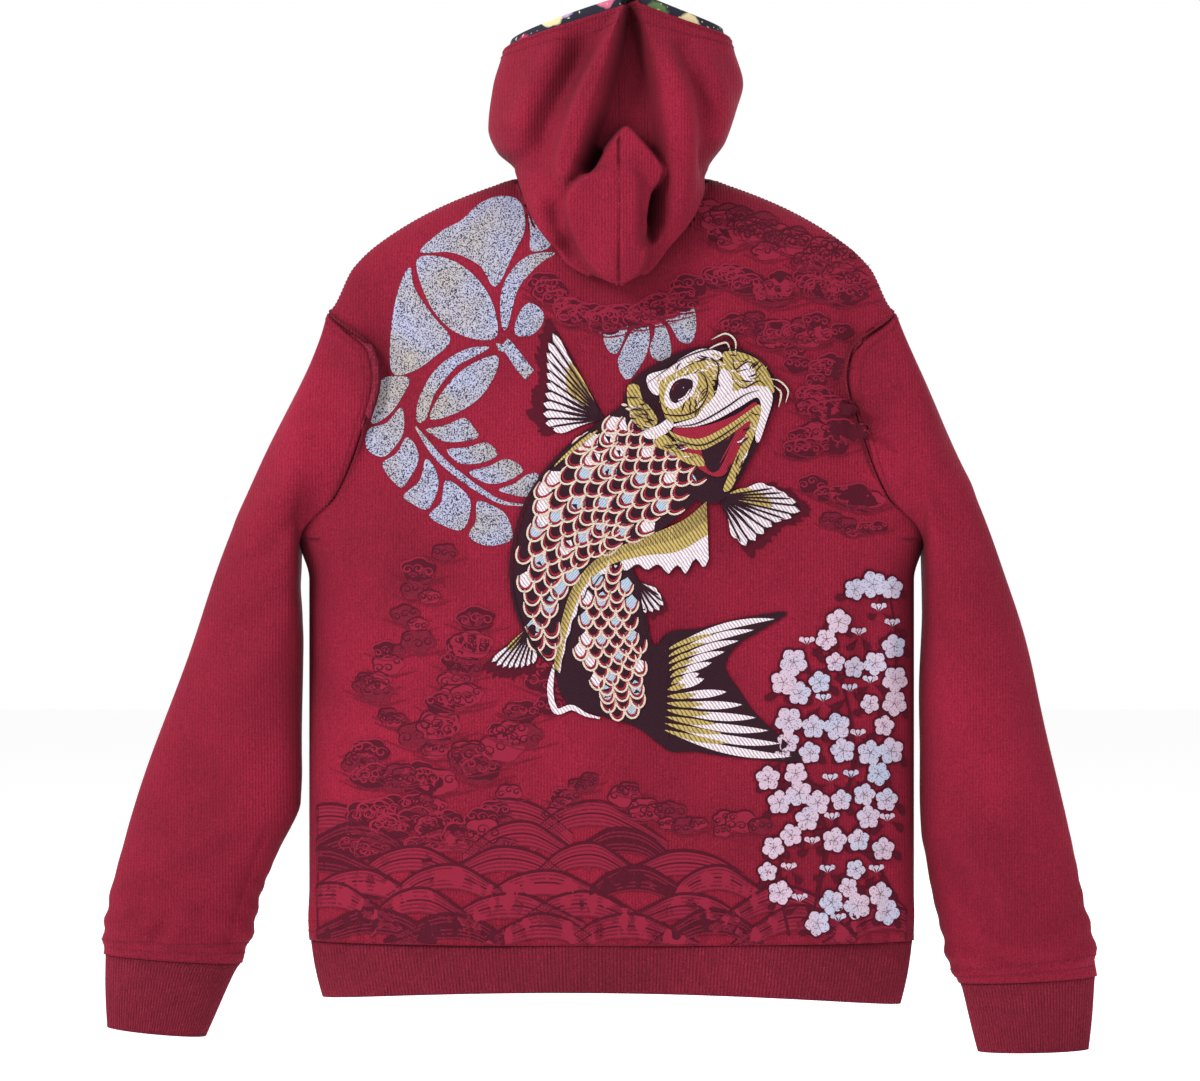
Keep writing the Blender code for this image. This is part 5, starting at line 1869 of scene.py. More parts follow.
@dataclass
class Carp:
    """The embroidered carp, curled with its open mouth up to the right."""

    layer: int = 7

    def build(self, artist: Artist) -> None:
        """Stitches tail, fins, flanks, belly and head, each over the one before."""
        self.tail(artist)
        for fin in (
            RayFin((-0.006, -0.202), ((-0.048, -0.126), (-0.0545, -0.14), (-0.055, -0.158),
                (-0.0555, -0.176), (-0.058, -0.192), (-0.056, -0.206), (-0.046, -0.214)), 11, 0.011),
            RayFin((0.09, -0.268), ((0.128, -0.2575), (0.146, -0.265), (0.16, -0.277), (0.154, -0.285),
                (0.14, -0.29), (0.128, -0.3), (0.113, -0.3095), (0.104, -0.3)), 12, 0.009),
            RayFin((-0.064, -0.372), ((-0.1035, -0.406), (-0.097, -0.411), (-0.086, -0.413),
                (-0.074, -0.412), (-0.064, -0.408)), 8, 0.01, 0.2),
            RayFin((0.018, -0.337), ((0.037, -0.347), (0.0435, -0.358), (0.04, -0.364), (0.03, -0.366),
                (0.02, -0.367)), 7, 0.006, 0.0),
        ):
            fin.build(artist, self.layer - 2)
        rear = ScaledFlank(
            ((0.004, -0.322), (-0.001, -0.345), (-0.003, -0.372), (-0.001, -0.398), (0.006, -0.42),
                (0.01, -0.444)),
            (0.012, 0.024, 0.029, 0.031, 0.027, 0.014), 12.5 * MM, 8,
        )
        artist.fill(Ink.PLUM, smooth_path(((0.02, -0.335), (0.034, -0.392), (0.048, -0.388),
            (0.046, -0.44), (0.046, -0.478), (0.02, -0.462),
                                           (-0.012, -0.452), (-0.04, -0.44), (-0.048, -0.405),
                                           (-0.036, -0.372), (-0.015, -0.345)), 3 * MM, True),
                                           self.layer - 1)
        rear.build(artist, self.layer)
        front = ScaledFlank(
            ((0.052, -0.22), (0.034, -0.236), (0.01, -0.254), (-0.015, -0.27), (-0.036, -0.294),
                (-0.0535, -0.3245), (-0.0595, -0.351),
             (-0.0585, -0.378), (-0.053, -0.401)),
            (0.048, 0.05, 0.051, 0.046, 0.04, 0.031, 0.0235, 0.017, 0.0075), 14.5 * MM, 5,
        )
        front.build(artist, self.layer)
        self.belly(artist)
        edge = smooth_path(((-0.01, -0.207), (-0.03, -0.222), (-0.053, -0.243), (-0.073, -0.273),
            (-0.084, -0.313), (-0.085, -0.34), (-0.079, -0.368), (-0.066, -0.394), (-0.049, -0.414)),
            3 * MM)
        artist.stroke(Ink.PLUM, edge, 2.2 * MM, self.layer + 4, (0.1, 0.1))
        artist.stroke(Ink.GOLD, edge[2:18] + [2.6 * MM, -1.6 * MM], 3.4 * MM, self.layer + 4, (0.3, 0.6))
        self.head(artist)

    def tail(self, artist: Artist) -> None:
        """Stitches the tail: plum web, then gold-rooted cream rays in two lobes."""
        web = smooth_path(((0.04, -0.392), (0.078, -0.379), (0.11, -0.371), (0.148, -0.366),
            (0.128, -0.38), (0.106, -0.394), (0.096, -0.412),
                           (0.108, -0.432), (0.122, -0.452), (0.15, -0.478), (0.16, -0.492),
                           (0.12, -0.49), (0.075, -0.484), (0.04, -0.474)), 3 * MM, True)
        artist.fill(Ink.PLUM, web, self.layer - 3)
        for i in range(6):
            share = i / 5
            start = (0.045 + 0.001 * i, -0.3985 - 0.028 * share)
            tip = (0.138 - 0.064 * share**0.8, -0.3715 - 0.046 * share)
            artist.fill(Ink.CREAM, leaf(start, tip, 6.0 * MM, 0.06 - 0.04 * share, 0.62), self.layer - 2,
                0.2 * MM, 4 * MM)
            near = (start[0] + (tip[0] - start[0]) * 0.45, start[1] + (tip[1] - start[1]) * 0.45 + 0.002)
            artist.fill(Ink.GOLD, leaf(start, near, 4.0 * MM, 0.05, 0.5), self.layer - 1, spacing=4 * MM)
        for i in range(7):
            share = i / 6
            start = (0.047 - 0.003 * share, -0.431 - 0.034 * share)
            tip = (0.078 + 0.074 * share**0.75, -0.422 - 0.066 * share)
            artist.fill(Ink.CREAM, leaf(start, tip, 7.0 * MM, -0.05 * share, 0.6), self.layer - 2,
                0.2 * MM, 4 * MM)
            near = (start[0] + (tip[0] - start[0]) * 0.5, start[1] + (tip[1] - start[1]) * 0.5)
            artist.fill(Ink.GOLD, leaf(start, near, 5.0 * MM, -0.03, 0.5), self.layer - 1, spacing=4 * MM)

    def belly(self, artist: Artist) -> None:
        """Stitches the belly band: a gold fringe above ivory folds, from gill to tail."""
        upper = smooth_path(((0.08, -0.272), (0.06, -0.288), (0.03, -0.301), (0.0, -0.313),
            (-0.02, -0.327), (-0.035, -0.349), (-0.044, -0.38), (-0.049, -0.412)), 3 * MM)
        lower = smooth_path(((0.081, -0.3), (0.056, -0.314), (0.026, -0.318), (-0.002, -0.326),
            (-0.02, -0.34), (-0.03, -0.358), (-0.039, -0.386), (-0.045, -0.416)), 3 * MM)
        count = min(len(upper), len(lower))
        upper, lower = (line[np.linspace(0, len(line) - 1, count).astype(int)] for line in (upper, lower))
        pale = (
            lower + (lower - upper) * (0.75 + 0.2 * np.sin(np.arange(count) * 1.1))[:, None]
            * np.linspace(1, 0.35, count)[:, None]
        )
        artist.fill(Ink.CREAM, np.vstack([lower - (lower - upper) * 0.1, pale[::-1]]), self.layer + 1)
        artist.fill(Ink.GOLD, np.vstack([upper, lower[::-1]]), self.layer + 2)
        for i in range(count - 1):
            for share in (0.0, 0.5):
                a, b = (line[i] + (line[i + 1] - line[i]) * share for line in (upper, lower))
                artist.stroke(Ink.PLUM, np.array([a, a + (b - a) * 0.55]), 0.7 * MM, self.layer + 3,
                    (0.01, 0.9))
        artist.stroke(Ink.PLUM, pale, 1.0 * MM, self.layer + 2, (0.1, 0.3))
        end = smooth_path(((-0.049, -0.41), (-0.052, -0.432), (-0.047, -0.449), (-0.034, -0.446),
            (-0.022, -0.452), (-0.01, -0.455)), 2 * MM)
        artist.stroke(Ink.CREAM, end, 5.0 * MM, self.layer, (0.2, 0.4))

    def hatch(self, artist: Artist, rim: Sequence[Point2], count: int, layer: float) -> None:
        """Stitches short curved lines of several colours inside a rim, which break up its flat fills."""
        draw = random.Random(count)
        rim = np.array(rim)
        low, high = rim.min(axis=0), rim.max(axis=0)
        area = Lobe(rim, 1.0, 1.0 * MM)
        for _ in range(count):
            place = np.array([draw.uniform(low[k], high[k]) for k in (0, 1)])
            angle = 0.55 + 0.9 * math.sin(place[0] * 60 + place[1] * 45) + draw.uniform(-0.25, 0.25)
            reach = draw.uniform(2.5, 5.5) * MM
            ahead = np.array([math.cos(angle), math.sin(angle)]) * reach
            side = np.array([-ahead[1], ahead[0]]) * draw.uniform(-0.35, 0.35)
            knots = np.array([place - ahead, place + side, place + ahead])
            if np.min(area.relief(knots[:, 0], knots[:, 1])) < 0.5:
                continue
            ink = draw.choices((Ink.PLUM, Ink.CREAM, Ink.GOLD), (0.45, 0.28, 0.27))[0]
            artist.stroke(ink, smooth_path(knots, 1.5 * MM), draw.uniform(0.8, 1.7) * MM, layer, (0.4, 0.4))

    def head(self, artist: Artist) -> None:
        """Stitches the head: gill, jaws, mouth, cheek, eye, nose and barbels."""
        top = self.layer + 5

        def fill(ink: Ink, layer: int, *points: Point2, raised: float = 0.25 * MM) -> None:
            artist.fill(ink, smooth_path(points, 2 * MM, True), top + layer, raised, 4 * MM)

        def line(ink: Ink, layer: int, width: float, *points: Point2) -> None:
            artist.stroke(ink, smooth_path(points, 1.5 * MM), width * MM, top + layer, (0.35, 0.35))

        # dark ground behind head and throat
        fill(Ink.PLUM, -4, (0.01, -0.19), (0.018, -0.17), (0.034, -0.158), (0.06, -0.145),
            (0.085, -0.141), (0.112, -0.144), (0.134, -0.162), (0.139, -0.182), (0.128, -0.214),
             (0.116, -0.238), (0.099, -0.266), (0.08, -0.274), (0.06, -0.262), (0.036, -0.244),
             (0.018, -0.226), raised=0.0)
        # gill cover and fringe
        fill(Ink.GOLD, 0, (0.013, -0.176), (0.022, -0.174), (0.026, -0.186), (0.035, -0.196),
            (0.038, -0.206), (0.026, -0.211), (0.016, -0.2))
        fill(Ink.CREAM, 0, (0.026, -0.212), (0.038, -0.208), (0.048, -0.202), (0.052, -0.208),
            (0.042, -0.217), (0.03, -0.219))
        for i in range(9):
            a = (0.008 + 0.0036 * i, -0.19 - 0.0036 * i)
            line(Ink.RIM, 1, 2.2, a, (a[0] + 0.005, a[1] - 0.001))
        # mouth, then the jaws round it
        fill(Ink.RED, 0, (0.052, -0.21), (0.078, -0.208), (0.104, -0.199), (0.122, -0.188),
            (0.12, -0.206), (0.108, -0.228), (0.094, -0.25), (0.076, -0.246), (0.06, -0.228))
        fill(Ink.PLUM, 1, (0.076, -0.224), (0.094, -0.216), (0.106, -0.206), (0.1, -0.226),
            (0.09, -0.246), (0.08, -0.244))
        for i in range(3):
            line(Ink.RED, 2, 1.2, (0.086 + 0.005 * i, -0.24), (0.096 + 0.005 * i, -0.222),
                (0.104 + 0.004 * i, -0.21))
        fill(Ink.GOLD, 2, (0.046, -0.211), (0.056, -0.216), (0.074, -0.219), (0.094, -0.21),
            (0.112, -0.198), (0.124, -0.19), (0.127, -0.197), (0.118, -0.222),
             (0.108, -0.246), (0.1, -0.262), (0.094, -0.262), (0.1, -0.246), (0.109, -0.224),
             (0.117, -0.204), (0.098, -0.217), (0.078, -0.228), (0.06, -0.225))
        fill(Ink.GOLD, 2, (0.046, -0.216), (0.058, -0.229), (0.074, -0.233), (0.078, -0.242),
            (0.064, -0.24), (0.05, -0.231), (0.038, -0.226), (0.036, -0.221))
        # upper lip and snout
        fill(Ink.CREAM, 3, (0.05, -0.208), (0.072, -0.2), (0.086, -0.186), (0.1, -0.176),
            (0.116, -0.172), (0.13, -0.172), (0.136, -0.184), (0.13, -0.206),
             (0.124, -0.222), (0.121, -0.216), (0.126, -0.196), (0.123, -0.184), (0.108, -0.192),
             (0.088, -0.203), (0.068, -0.209))
        fill(Ink.GOLD, 3, (0.094, -0.146), (0.11, -0.146), (0.126, -0.154), (0.135, -0.168),
            (0.137, -0.18), (0.128, -0.176), (0.114, -0.176), (0.104, -0.184), (0.1, -0.172),
            (0.096, -0.16))
        fill(Ink.CREAM, 4, (0.108, -0.158), (0.116, -0.156), (0.122, -0.164), (0.118, -0.172),
            (0.11, -0.168))
        # brow, forehead and cheek
        fill(Ink.CREAM, 3, (0.03, -0.166), (0.046, -0.16), (0.06, -0.15), (0.076, -0.143),
            (0.092, -0.146), (0.09, -0.152), (0.076, -0.152), (0.062, -0.158), (0.048, -0.168),
            (0.04, -0.182), (0.032, -0.178))
        fill(Ink.GOLD, 4, (0.04, -0.172), (0.052, -0.164), (0.068, -0.156), (0.084, -0.152),
            (0.096, -0.156), (0.094, -0.168), (0.084, -0.17), (0.086, -0.182), (0.078, -0.196),
             (0.062, -0.203), (0.048, -0.204), (0.042, -0.192))
        fill(Ink.CREAM, 5, (0.092, -0.16), (0.1, -0.164), (0.102, -0.176), (0.092, -0.186),
            (0.084, -0.196), (0.07, -0.204), (0.078, -0.192), (0.088, -0.18))
        # stitches that run along head and jaws
        for count, rim in (
            (230, ((0.036, -0.172), (0.06, -0.153), (0.09, -0.146), (0.126, -0.152), (0.136, -0.172),
                (0.11, -0.174), (0.086, -0.192), (0.062, -0.204), (0.044, -0.2))),
            (46, ((0.013, -0.177), (0.022, -0.172), (0.038, -0.2), (0.026, -0.214), (0.014, -0.2))),
            (34, ((0.046, -0.215), (0.074, -0.231), (0.078, -0.242), (0.05, -0.231), (0.036, -0.221))),
            (34, ((0.11, -0.205), (0.127, -0.193), (0.11, -0.246), (0.098, -0.262), (0.095, -0.258))),
        ):
            self.hatch(artist, rim, count, top + 5.2)
        # eye
        fill(Ink.CREAM, 5, (0.044, -0.184), (0.048, -0.172), (0.06, -0.166), (0.072, -0.164),
            (0.072, -0.174), (0.064, -0.186), (0.054, -0.194), (0.046, -0.192))
        fill(Ink.PLUM, 6, (0.048, -0.182), (0.052, -0.172), (0.06, -0.168), (0.068, -0.17),
            (0.067, -0.178), (0.06, -0.186), (0.052, -0.189), raised=0.4 * MM)
        line(Ink.RED, 7, 1.6, (0.051, -0.185), (0.0505, -0.18), (0.0535, -0.174), (0.058, -0.171))
        line(Ink.CREAM, 7, 1.4, (0.054, -0.187), (0.061, -0.184), (0.066, -0.177))
        # painted highlight: a small cream dot high in the eye stands for a glint
        fill(Ink.CREAM, 7, (0.058, -0.174), (0.062, -0.172), (0.063, -0.177), (0.059, -0.178))
        for width, points in (
            (1.5, ((0.04, -0.196), (0.048, -0.199), (0.062, -0.199), (0.074, -0.193), (0.082, -0.18))),
            (1.3, ((0.072, -0.16), (0.079, -0.168), (0.08, -0.18), (0.072, -0.19))),
            (1.3, ((0.084, -0.15), (0.09, -0.158), (0.089, -0.17), (0.094, -0.178))),
            (1.4, ((0.052, -0.209), (0.072, -0.206), (0.094, -0.194), (0.112, -0.182), (0.124, -0.178))),
            (1.2, ((0.102, -0.15), (0.104, -0.16), (0.114, -0.154), (0.122, -0.156))),
            (1.2, ((0.104, -0.172), (0.112, -0.176), (0.124, -0.17), (0.13, -0.174))),
            (1.3, ((0.046, -0.214), (0.06, -0.222), (0.078, -0.224), (0.1, -0.212), (0.118, -0.198))),
            (1.2, ((0.03, -0.172), (0.044, -0.162), (0.062, -0.15), (0.084, -0.143), (0.104, -0.143),
                (0.126, -0.151), (0.137, -0.166), (0.139, -0.184))),
            (1.0, ((0.024, -0.186), (0.034, -0.19), (0.036, -0.2))),
            (1.0, ((0.019, -0.192), (0.028, -0.196), (0.031, -0.205))),
        ):
            line(Ink.PLUM, 6, width, *points)
        for points in (
            ((0.08, -0.144), (0.09, -0.139), (0.097, -0.138), (0.1, -0.145)),
            ((0.084, -0.135), (0.096, -0.13), (0.104, -0.136), (0.104, -0.148)),
            ((0.134, -0.168), (0.142, -0.17), (0.149, -0.178), (0.147, -0.188)),
            ((0.137, -0.174), (0.143, -0.18), (0.141, -0.192)),
        ):
            line(Ink.PLUM, -1, 3.0, *points)
            line(Ink.RIM, 6, 1.6, *points)


@dataclass
class Surroundings:
    """Clouds, waves, foam and blossom branches dyed into the cloth round the carp."""

    seed: int = 21

    def side_limit(self, z: float) -> float:
        """Returns how far out the dye may reach: to the side seam, and less beside the armhole."""
        return 0.238 - 0.03 * math.exp(-(((z + 0.155) / 0.075) ** 2))

    def spray_edge(self, z: float) -> float:
        """Returns where the blossoms start: further right at the top of the spray and near the hem."""
        top = 0.082 * math.exp(-(((z + 0.325) / -0.075) ** 2))
        return 0.13 + top + 0.03 * max(0.0, (-0.595 - z) / 0.035)

    def scroll(self, artist: Artist, ink: Ink, place: Point2, size: float, spin: int, width: float,
            layer: float = 1) -> None:
        """Draws one curled line of cloud or foam."""
        turn = np.linspace(0, 2 * np.pi * 1.15, 18)
        radius = size * (1 - 0.72 * turn / turn[-1])
        points = np.column_stack([radius * np.cos(turn) * spin,
            radius * np.sin(turn) * 0.8]) + np.array(place)
        artist.stroke(ink, points, width, layer, (0.5, 0.2))

    def billow(self, artist: Artist, place: Point2, size: float, ink: Ink, layer: float,
            draw: random.Random) -> None:
        """Draws one rounded billow with a bumpy rim and curled lines inside it."""
        turn = np.linspace(0, 2 * np.pi, 28, endpoint=False)
        bumps = size * (0.85 + 0.18 * np.abs(np.sin(turn * 2.5 + draw.uniform(0, 6))))
        rim = np.column_stack([place[0] + 1.25 * bumps * np.cos(turn),
            place[1] + bumps * 0.8 * np.sin(turn)])
        artist.fill(ink, rim, layer, 0.0, 10 * MM)
        artist.stroke(Ink.CLOTH if ink is Ink.DARK else Ink.DARK, rim[2:18], 1.5 * MM, layer + 0.2,
            (0.3, 0.3))
        for k in range(3):
            curl = (place[0] + (k - 1) * size * 0.72, place[1] + draw.uniform(-0.3, 0.3) * size)
            self.scroll(artist, Ink.CLOTH if ink is Ink.DARK else Ink.DARK, curl, size * 0.4,
                draw.choice((-1, 1)), 1.3 * MM, layer + 0.2)

    def bank(self, artist: Artist, path: Sequence[Point2], width: float, count: int, dark: float,
            size: tuple[float, float]) -> None:
        """Draws billows strewn along a path.

        Args:
            artist: who draws them.
            path: the bank's middle line.
            width: how far they stray from it.
            count: how many.
            dark: share of them in the darker dye.
            size: smallest and largest billow in millimetres.
        """
        draw = random.Random(self.seed + count + round(path[0][0] * 1000))
        line = smooth_path(path, 4 * MM)
        for i in range(count):
            x, z = line[int((i + draw.random()) / count * (len(line) - 1))]
            x, z = x + draw.uniform(-width, width), z + draw.uniform(-width, width) * 0.7
            ink = Ink.DARK if draw.random() < dark else draw.choice((Ink.LINE, Ink.CLOTH))
            scale = draw.uniform(*size) * MM
            # the dye stops at the armhole and side seams
            if abs(x) + 1.4 * scale > self.side_limit(z):
                continue
            self.billow(artist, (x, z), scale, ink, 0.02 * i, draw)
            wisp = smooth_path(((x - 2 * scale, z - 0.3 * scale), (x, z - 0.95 * scale),
                (x + 2.2 * scale, z - 0.5 * scale)), 3 * MM)
            artist.stroke(Ink.LINE, wisp, 1.3 * MM, 0.02 * i + 0.2, (0.4, 0.4))

    def blossoms(self, artist: Artist) -> None:
        """Prints sprays of five-petalled blossoms on dark twigs, with buds and leaves."""
        draw = random.Random(self.seed + 3)
        for path in (
            ((0.17, -0.625), (0.185, -0.56), (0.205, -0.5), (0.2, -0.44), (0.176, -0.38)),
            ((0.205, -0.5), (0.232, -0.455), (0.244, -0.4), (0.236, -0.345)),
            ((0.15, -0.64), (0.142, -0.59), (0.15, -0.545)),
            ((0.188, -0.56), (0.22, -0.575), (0.244, -0.61)),
        ):
            line = smooth_path(path, 4 * MM)
            artist.stroke(Ink.DARK, line, 2.6 * MM, 2, (0.05, 0.6))
        taken: list[Point2] = []
        for _ in range(1500):
            x, z = draw.uniform(0.128, 0.243), draw.uniform(-0.63, -0.34)
            size = draw.uniform(8.5, 12.5) * MM
            sparse = math.sin(x * 95 + 1.0) * math.sin(z * 70 + 2.0) > 0.55
            if x < self.spray_edge(z) or sparse or min((math.dist((x, z), t) for t in taken),
                    default=1) < 16 * MM:
                continue
            taken.append((x, z))
            if draw.random() < 0.8:
                self.flower(artist, (x, z), size, draw.uniform(0, 6))
            else:
                for k in range(3):
                    artist.fill(Ink.BLOSSOM, leaf((x, z), (x + (k - 1) * 6 * MM, z + 7 * MM), 4.5 * MM), 4)
            for side in (-1, 1):
                artist.fill(Ink.DARK, leaf((x, z),
                    (x + side * draw.uniform(8, 17) * MM, z - draw.uniform(4, 15) * MM), 6 * MM, 0.1), 2.5)

    def flower(self, artist: Artist, place: Point2, size: float, turn: float) -> None:
        """Prints one blossom: dark outline, five notched petals and a ring of stamens."""

        def out(reach: float, angle: float) -> Point2:
            return (place[0] + reach * math.cos(angle), place[1] + reach * math.sin(angle))

        for i in range(5):
            angle = turn + i * 2 * math.pi / 5
            artist.fill(Ink.DARK, leaf(place, out(size * 1.12, angle), size * 1.02, 0, 0.64), 3)
            artist.fill(Ink.BLOSSOM, leaf(place, out(size, angle), size * 0.82, 0, 0.64), 4)
            stamen = np.array([place, out(size * 0.42, angle + 0.6)])
            artist.stroke(Ink.DARK, stamen, 0.9 * MM, 5, (0.01, 0.01))

    def waves(self, artist: Artist) -> None:
        """Draws rolling waves along the hem: nested crests with curled foam."""
        draw = random.Random(self.seed + 9)
        rows = ((-0.548, -0.235, 0.02), (-0.566, -0.215, 0.08), (-0.584, -0.235, 0.125),
            (-0.602, -0.205, 0.15), (-0.62, -0.235, 0.236), (-0.637, -0.21, 0.24))
        for row, (z, start, stop) in enumerate(rows):
            for x in np.arange(start, stop, 0.074):
                wide, tall = draw.uniform(0.044, 0.058), draw.uniform(0.015, 0.024)
                x, side = x + draw.uniform(-8, 8) * MM, draw.choice((-1, 1))

                def swell(k: int) -> Array:
                    drop = k * 3.1 * MM
                    knots = ((-1.0, -0.2 * tall - drop), (-0.5, 0.75 * tall - drop),
                        (0.05, tall - drop * 1.1), (0.55, 0.35 * tall - drop * 0.8),
                        (1.05, -0.5 * tall - drop * 0.4))
                    return np.clip(smooth_path([(x + side * wide * a, z + b) for a, b in knots], 4 * MM),
                        [-0.252, -0.6465], [0.252, 0])

                artist.fill(Ink.DARK if draw.random() < 0.25 else Ink.CLOTH,
                    np.vstack([swell(0), swell(6)[::-1]]), 0.35 * row, 0.0, 12 * MM)
                for k in range(7):
                    artist.stroke(Ink.DARK if k in (0, 3) else Ink.LINE, swell(k),
                        (2.6 if k == 0 else 1.5) * MM, 0.35 * row + 0.17, (0.3, 0.2))
        for path, width, count, dark, size in (
            (((-0.205, -0.6), (-0.215, -0.56), (-0.19, -0.54), (-0.165, -0.565)), 0.014, 18, 0.85,
                (11, 17)),
            (((-0.19, -0.47), (-0.2, -0.42), (-0.172, -0.38), (-0.158, -0.345), (-0.15, -0.315)), 0.012,
                18, 0.3, (6, 13)),
            (((-0.15, -0.52), (-0.16, -0.47), (-0.13, -0.43), (-0.12, -0.395), (-0.128, -0.36)), 0.016,
                22, 0.5, (8, 16)),
            (((-0.09, -0.54), (-0.11, -0.49), (-0.08, -0.46), (-0.055, -0.43), (-0.07, -0.41)), 0.016,
                20, 0.4, (8, 16)),
            (((-0.24, -0.53), (-0.215, -0.49), (-0.18, -0.51), (-0.14, -0.545), (-0.09, -0.555)), 0.016,
                22, 0.45, (8, 15)),
            (((-0.06, -0.54), (-0.02, -0.51), (0.03, -0.53), (0.08, -0.545), (0.125, -0.54)), 0.014, 20,
                0.15, (6, 12)),
        ):
            self.bank(artist, path, width, count, dark, size)

    def build(self, artist: Artist) -> None:
        """Dyes everything round the carp."""
        self.waves(artist)
        for path, width, count, dark, size in (
            (((0.085, -0.03), (0.13, -0.05), (0.175, -0.06), (0.205, -0.075)), 0.016, 26, 0.15, (8, 14)),
            (((0.095, -0.075), (0.13, -0.09), (0.17, -0.085), (0.215, -0.095)), 0.012, 24, 0.75, (8, 14)),
            (((0.11, -0.115), (0.15, -0.13), (0.19, -0.12)), 0.012, 18, 0.45, (7, 12)),
            (((0.165, -0.15), (0.2, -0.165), (0.17, -0.185), (0.205, -0.205), (0.165, -0.225)), 0.014,
                34, 0.7, (7, 13)),
            (((0.178, -0.262), (0.205, -0.27), (0.236, -0.262)), 0.008, 10, 0.75, (7, 12)),
            (((0.19, -0.29), (0.215, -0.296), (0.24, -0.288)), 0.004, 7, 0.3, (5, 9)),
            (((-0.066, -0.088), (-0.03, -0.112), (0.01, -0.118), (0.05, -0.106), (0.072, -0.09)), 0.006,
                22, 0.95, (9, 13)),
        ):
            self.bank(artist, path, width, count, dark, size)
        self.blossoms(artist)


def build_picture(back: Surface) -> None:
    """Prints and stitches the picture on the back.

    Args:
        back: the surface that carries it.
    """
    artist = Artist(back)
    BlossomCrest().build(artist)
    Surroundings().build(artist)
    Carp().build(artist)
    artist.finish()
    nodes = [name for name in frame["nodes"] if name.startswith("carp_")]
    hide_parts(*nodes)


# ------------------------------------------------------------------ studio


@dataclass
class Studio:
    """White sweep, soft light and a long lens that looks straight at the decorated back.

    Attributes:
        middle: point that the camera looks at.
        distance: camera to that point.
        width: width of the garment's plane that the picture spans.
        floor: height of the floor.
    """

    middle: tuple[float, float, float] = (-0.01, 0.0, -0.305)
    distance: float = 3.2
    width: float = 1.032
    floor: float = -0.86

    def build(self) -> None:
        """Builds the sweep, the lights and the camera."""
        scene = bpy.context.scene
        world = bpy.data.worlds.new("studio_white")
        world.use_nodes = True
        # a white backdrop behind the garment, and less light from the side that the decorated back faces
        tree = world.node_tree
        way = add_node(tree, "ShaderNodeSeparateXYZ",
            {0: add_node(tree, "ShaderNodeTexCoord").outputs["Generated"]})
        light = add_node(tree, "ShaderNodeMapRange",
            {0: way.outputs["Y"], 1: -0.25, 2: 0.45, 3: 0.34, 4: 1.0})
        tree.nodes["Background"].inputs["Color"].default_value = linear("#FFFFFF")
        seen = add_node(tree, "ShaderNodeMath",
            {0: light.outputs[0], 1: add_node(tree, "ShaderNodeLightPath").outputs["Is Camera Ray"]},
            operation="MAXIMUM")
        tree.links.new(seen.outputs[0], tree.nodes["Background"].inputs["Strength"])
        scene.view_settings.view_transform = "Standard"
        scene.world = world
        paper = Finish("white_paper", "", "#F8F8F8", 0.95).material()
        glow = paper.node_tree.nodes["Principled BSDF"].inputs
        glow["Emission Color"].default_value = linear("#FFFFFF")
        glow["Emission Strength"].default_value = 0.35
        mesh = bpy.data.meshes.new("studio_floor")
        reach = 9.0
        mesh.from_pydata([(-reach, -reach, self.floor), (reach, -reach, self.floor),
            (reach, reach, self.floor), (-reach, reach, self.floor)], [], [(0, 1, 2, 3)])
        floor = bpy.data.objects.new("studio_floor", mesh)
        scene.collection.objects.link(floor)
        mesh.materials.append(paper)
        for name, place, size, power in (
            ("key", (-2.3, -1.9, 1.5), 0.8, 74.0), ("fill", (1.9, -2.6, 0.4), 2.0, 9.0),
            ("top", (0.2, -0.5, 2.3), 1.0, 16.0), ("front", (0.6, 2.6, 0.8), 2.2, 34.0),
        ):
            light = bpy.data.lights.new(name, "AREA")
            light.energy, light.size = power, size
            lamp = bpy.data.objects.new(name, light)
            lamp.location = place
            lamp.rotation_euler = (Vector(self.middle) - Vector(place)).to_track_quat("-Z", "Y").to_euler()
            scene.collection.objects.link(lamp)
        data = bpy.data.cameras.new("camera")
        data.sensor_width = 36.0
        data.lens = data.sensor_width * self.distance / self.width
        camera = bpy.data.objects.new("camera", data)
        camera.location = (self.middle[0], -self.distance, self.middle[2])
        camera.rotation_euler = (math.pi / 2, 0, 0)
        scene.collection.objects.link(camera)
        scene.camera = camera


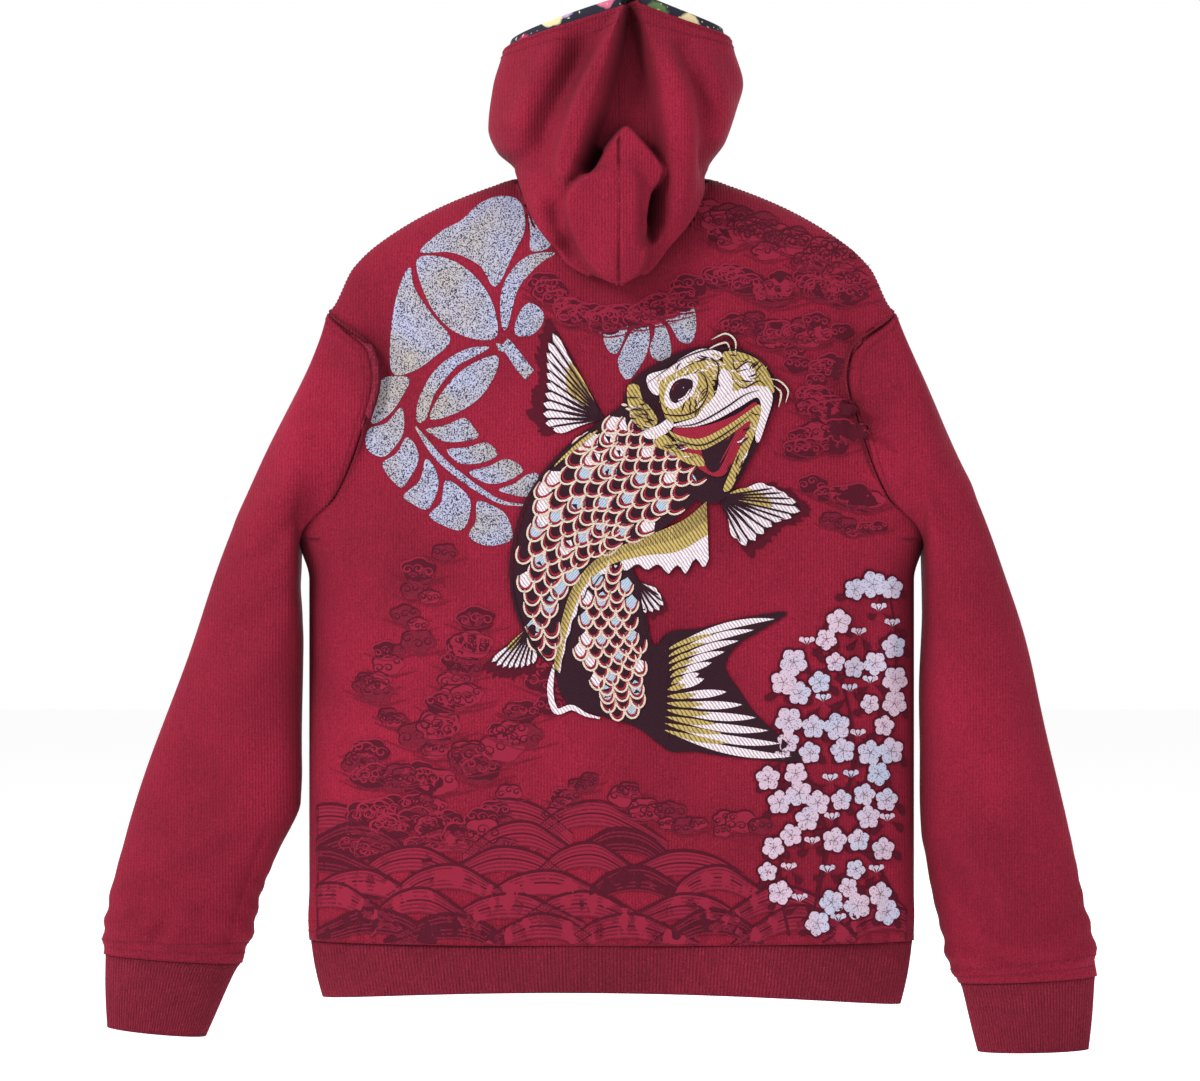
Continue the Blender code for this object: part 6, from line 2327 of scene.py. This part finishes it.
def sleeves(torso: Torso) -> tuple[Sleeve, Sleeve]:
    """Returns the left and the right sleeve with their sections and folds."""
    left = Sleeve(
        Side.LEFT,
        (
            ((0.258, -0.148), (0.2675, -0.325), 0.037), ((0.3, -0.236), (0.2655, -0.385), 0.038),
            ((0.336, -0.323), (0.265, -0.44), 0.037), ((0.365, -0.409), (0.265, -0.495), 0.036),
            ((0.402, -0.512), (0.267, -0.53), 0.034), ((0.42, -0.568), (0.288, -0.575), 0.032),
            ((0.434, -0.618), (0.303, -0.612), 0.03), ((0.437, -0.66), (0.3175, -0.668), 0.027),
        ),
        ((0.4335, -0.723), (0.349, -0.731)),
        (
            Fold(((-0.24, -0.251), (-0.272, -0.292), (-0.321, -0.336)), -4.0 * MM, 0.009),
            Fold(((-0.256, -0.24), (-0.29, -0.275), (-0.322, -0.305)), 3.5 * MM, 0.012),
            Fold(((-0.262, -0.33), (-0.3, -0.372), (-0.352, -0.398)), -2.8 * MM, 0.011),
            Fold(((-0.268, -0.372), (-0.31, -0.42), (-0.35, -0.44)), 2.8 * MM, 0.014),
            Fold(((-0.274, -0.47), (-0.32, -0.5), (-0.385, -0.505)), -2.6 * MM, 0.012),
            Fold(((-0.311, -0.555), (-0.35, -0.583), (-0.406, -0.598)), -3.2 * MM, 0.01),
            Fold(((-0.3, -0.535), (-0.345, -0.56), (-0.4, -0.57)), 3.0 * MM, 0.012),
            Fold(((-0.367, -0.615), (-0.382, -0.632), (-0.395, -0.656)), -3.2 * MM, 0.006),
            Fold(((-0.352, -0.612), (-0.366, -0.632), (-0.377, -0.655)), 2.5 * MM, 0.009),
            Fold(((-0.293, -0.547), (-0.312, -0.596), (-0.324, -0.63), (-0.331, -0.664)), -1.6 * MM,
                0.0022, 0.1),
        ),
        torso,
    )
    right = Sleeve(
        Side.RIGHT,
        (
            ((0.26, -0.148), (0.2675, -0.325), 0.037), ((0.298, -0.236), (0.2655, -0.385), 0.038),
            ((0.334, -0.323), (0.265, -0.44), 0.037), ((0.36, -0.409), (0.265, -0.5), 0.036),
            ((0.384, -0.512), (0.266, -0.56), 0.034), ((0.397, -0.568), (0.274, -0.607), 0.032),
            ((0.408, -0.625), (0.286, -0.65), 0.03), ((0.4175, -0.679), (0.298, -0.685), 0.027),
        ),
        ((0.41, -0.742), (0.315, -0.744)),
        (
            Fold(((0.25, -0.23), (0.28, -0.275), (0.318, -0.312)), -3.2 * MM, 0.01),
            Fold(((0.262, -0.215), (0.288, -0.25), (0.312, -0.275)), 2.8 * MM, 0.012),
            Fold(((0.27, -0.35), (0.3, -0.395), (0.345, -0.425)), -2.4 * MM, 0.012),
            Fold(((0.28, -0.44), (0.315, -0.48), (0.362, -0.5)), 2.6 * MM, 0.014),
            Fold(((0.261, -0.559), (0.3, -0.602), (0.342, -0.641)), -3.8 * MM, 0.009),
            Fold(((0.282, -0.548), (0.32, -0.59), (0.366, -0.622)), 3.2 * MM, 0.012),
            Fold(((0.296, -0.64), (0.322, -0.662), (0.35, -0.672)), -2.4 * MM, 0.007),
            Fold(((0.302, -0.59), (0.3, -0.636), (0.309, -0.68)), -1.4 * MM, 0.0022, 0.1),
        ),
        torso,
    )
    return left, right


def main() -> None:
    """Builds the garment, its picture and the studio."""
    torso = Torso()
    back, _ = torso.build()
    for sleeve in sleeves(torso):
        sleeve.build()
    Hood().build()
    Zip().build()
    build_picture(back)
    Studio().build()


if __name__ == "__main__":
    logging.basicConfig(level=logging.INFO, format="%(message)s")
    main()
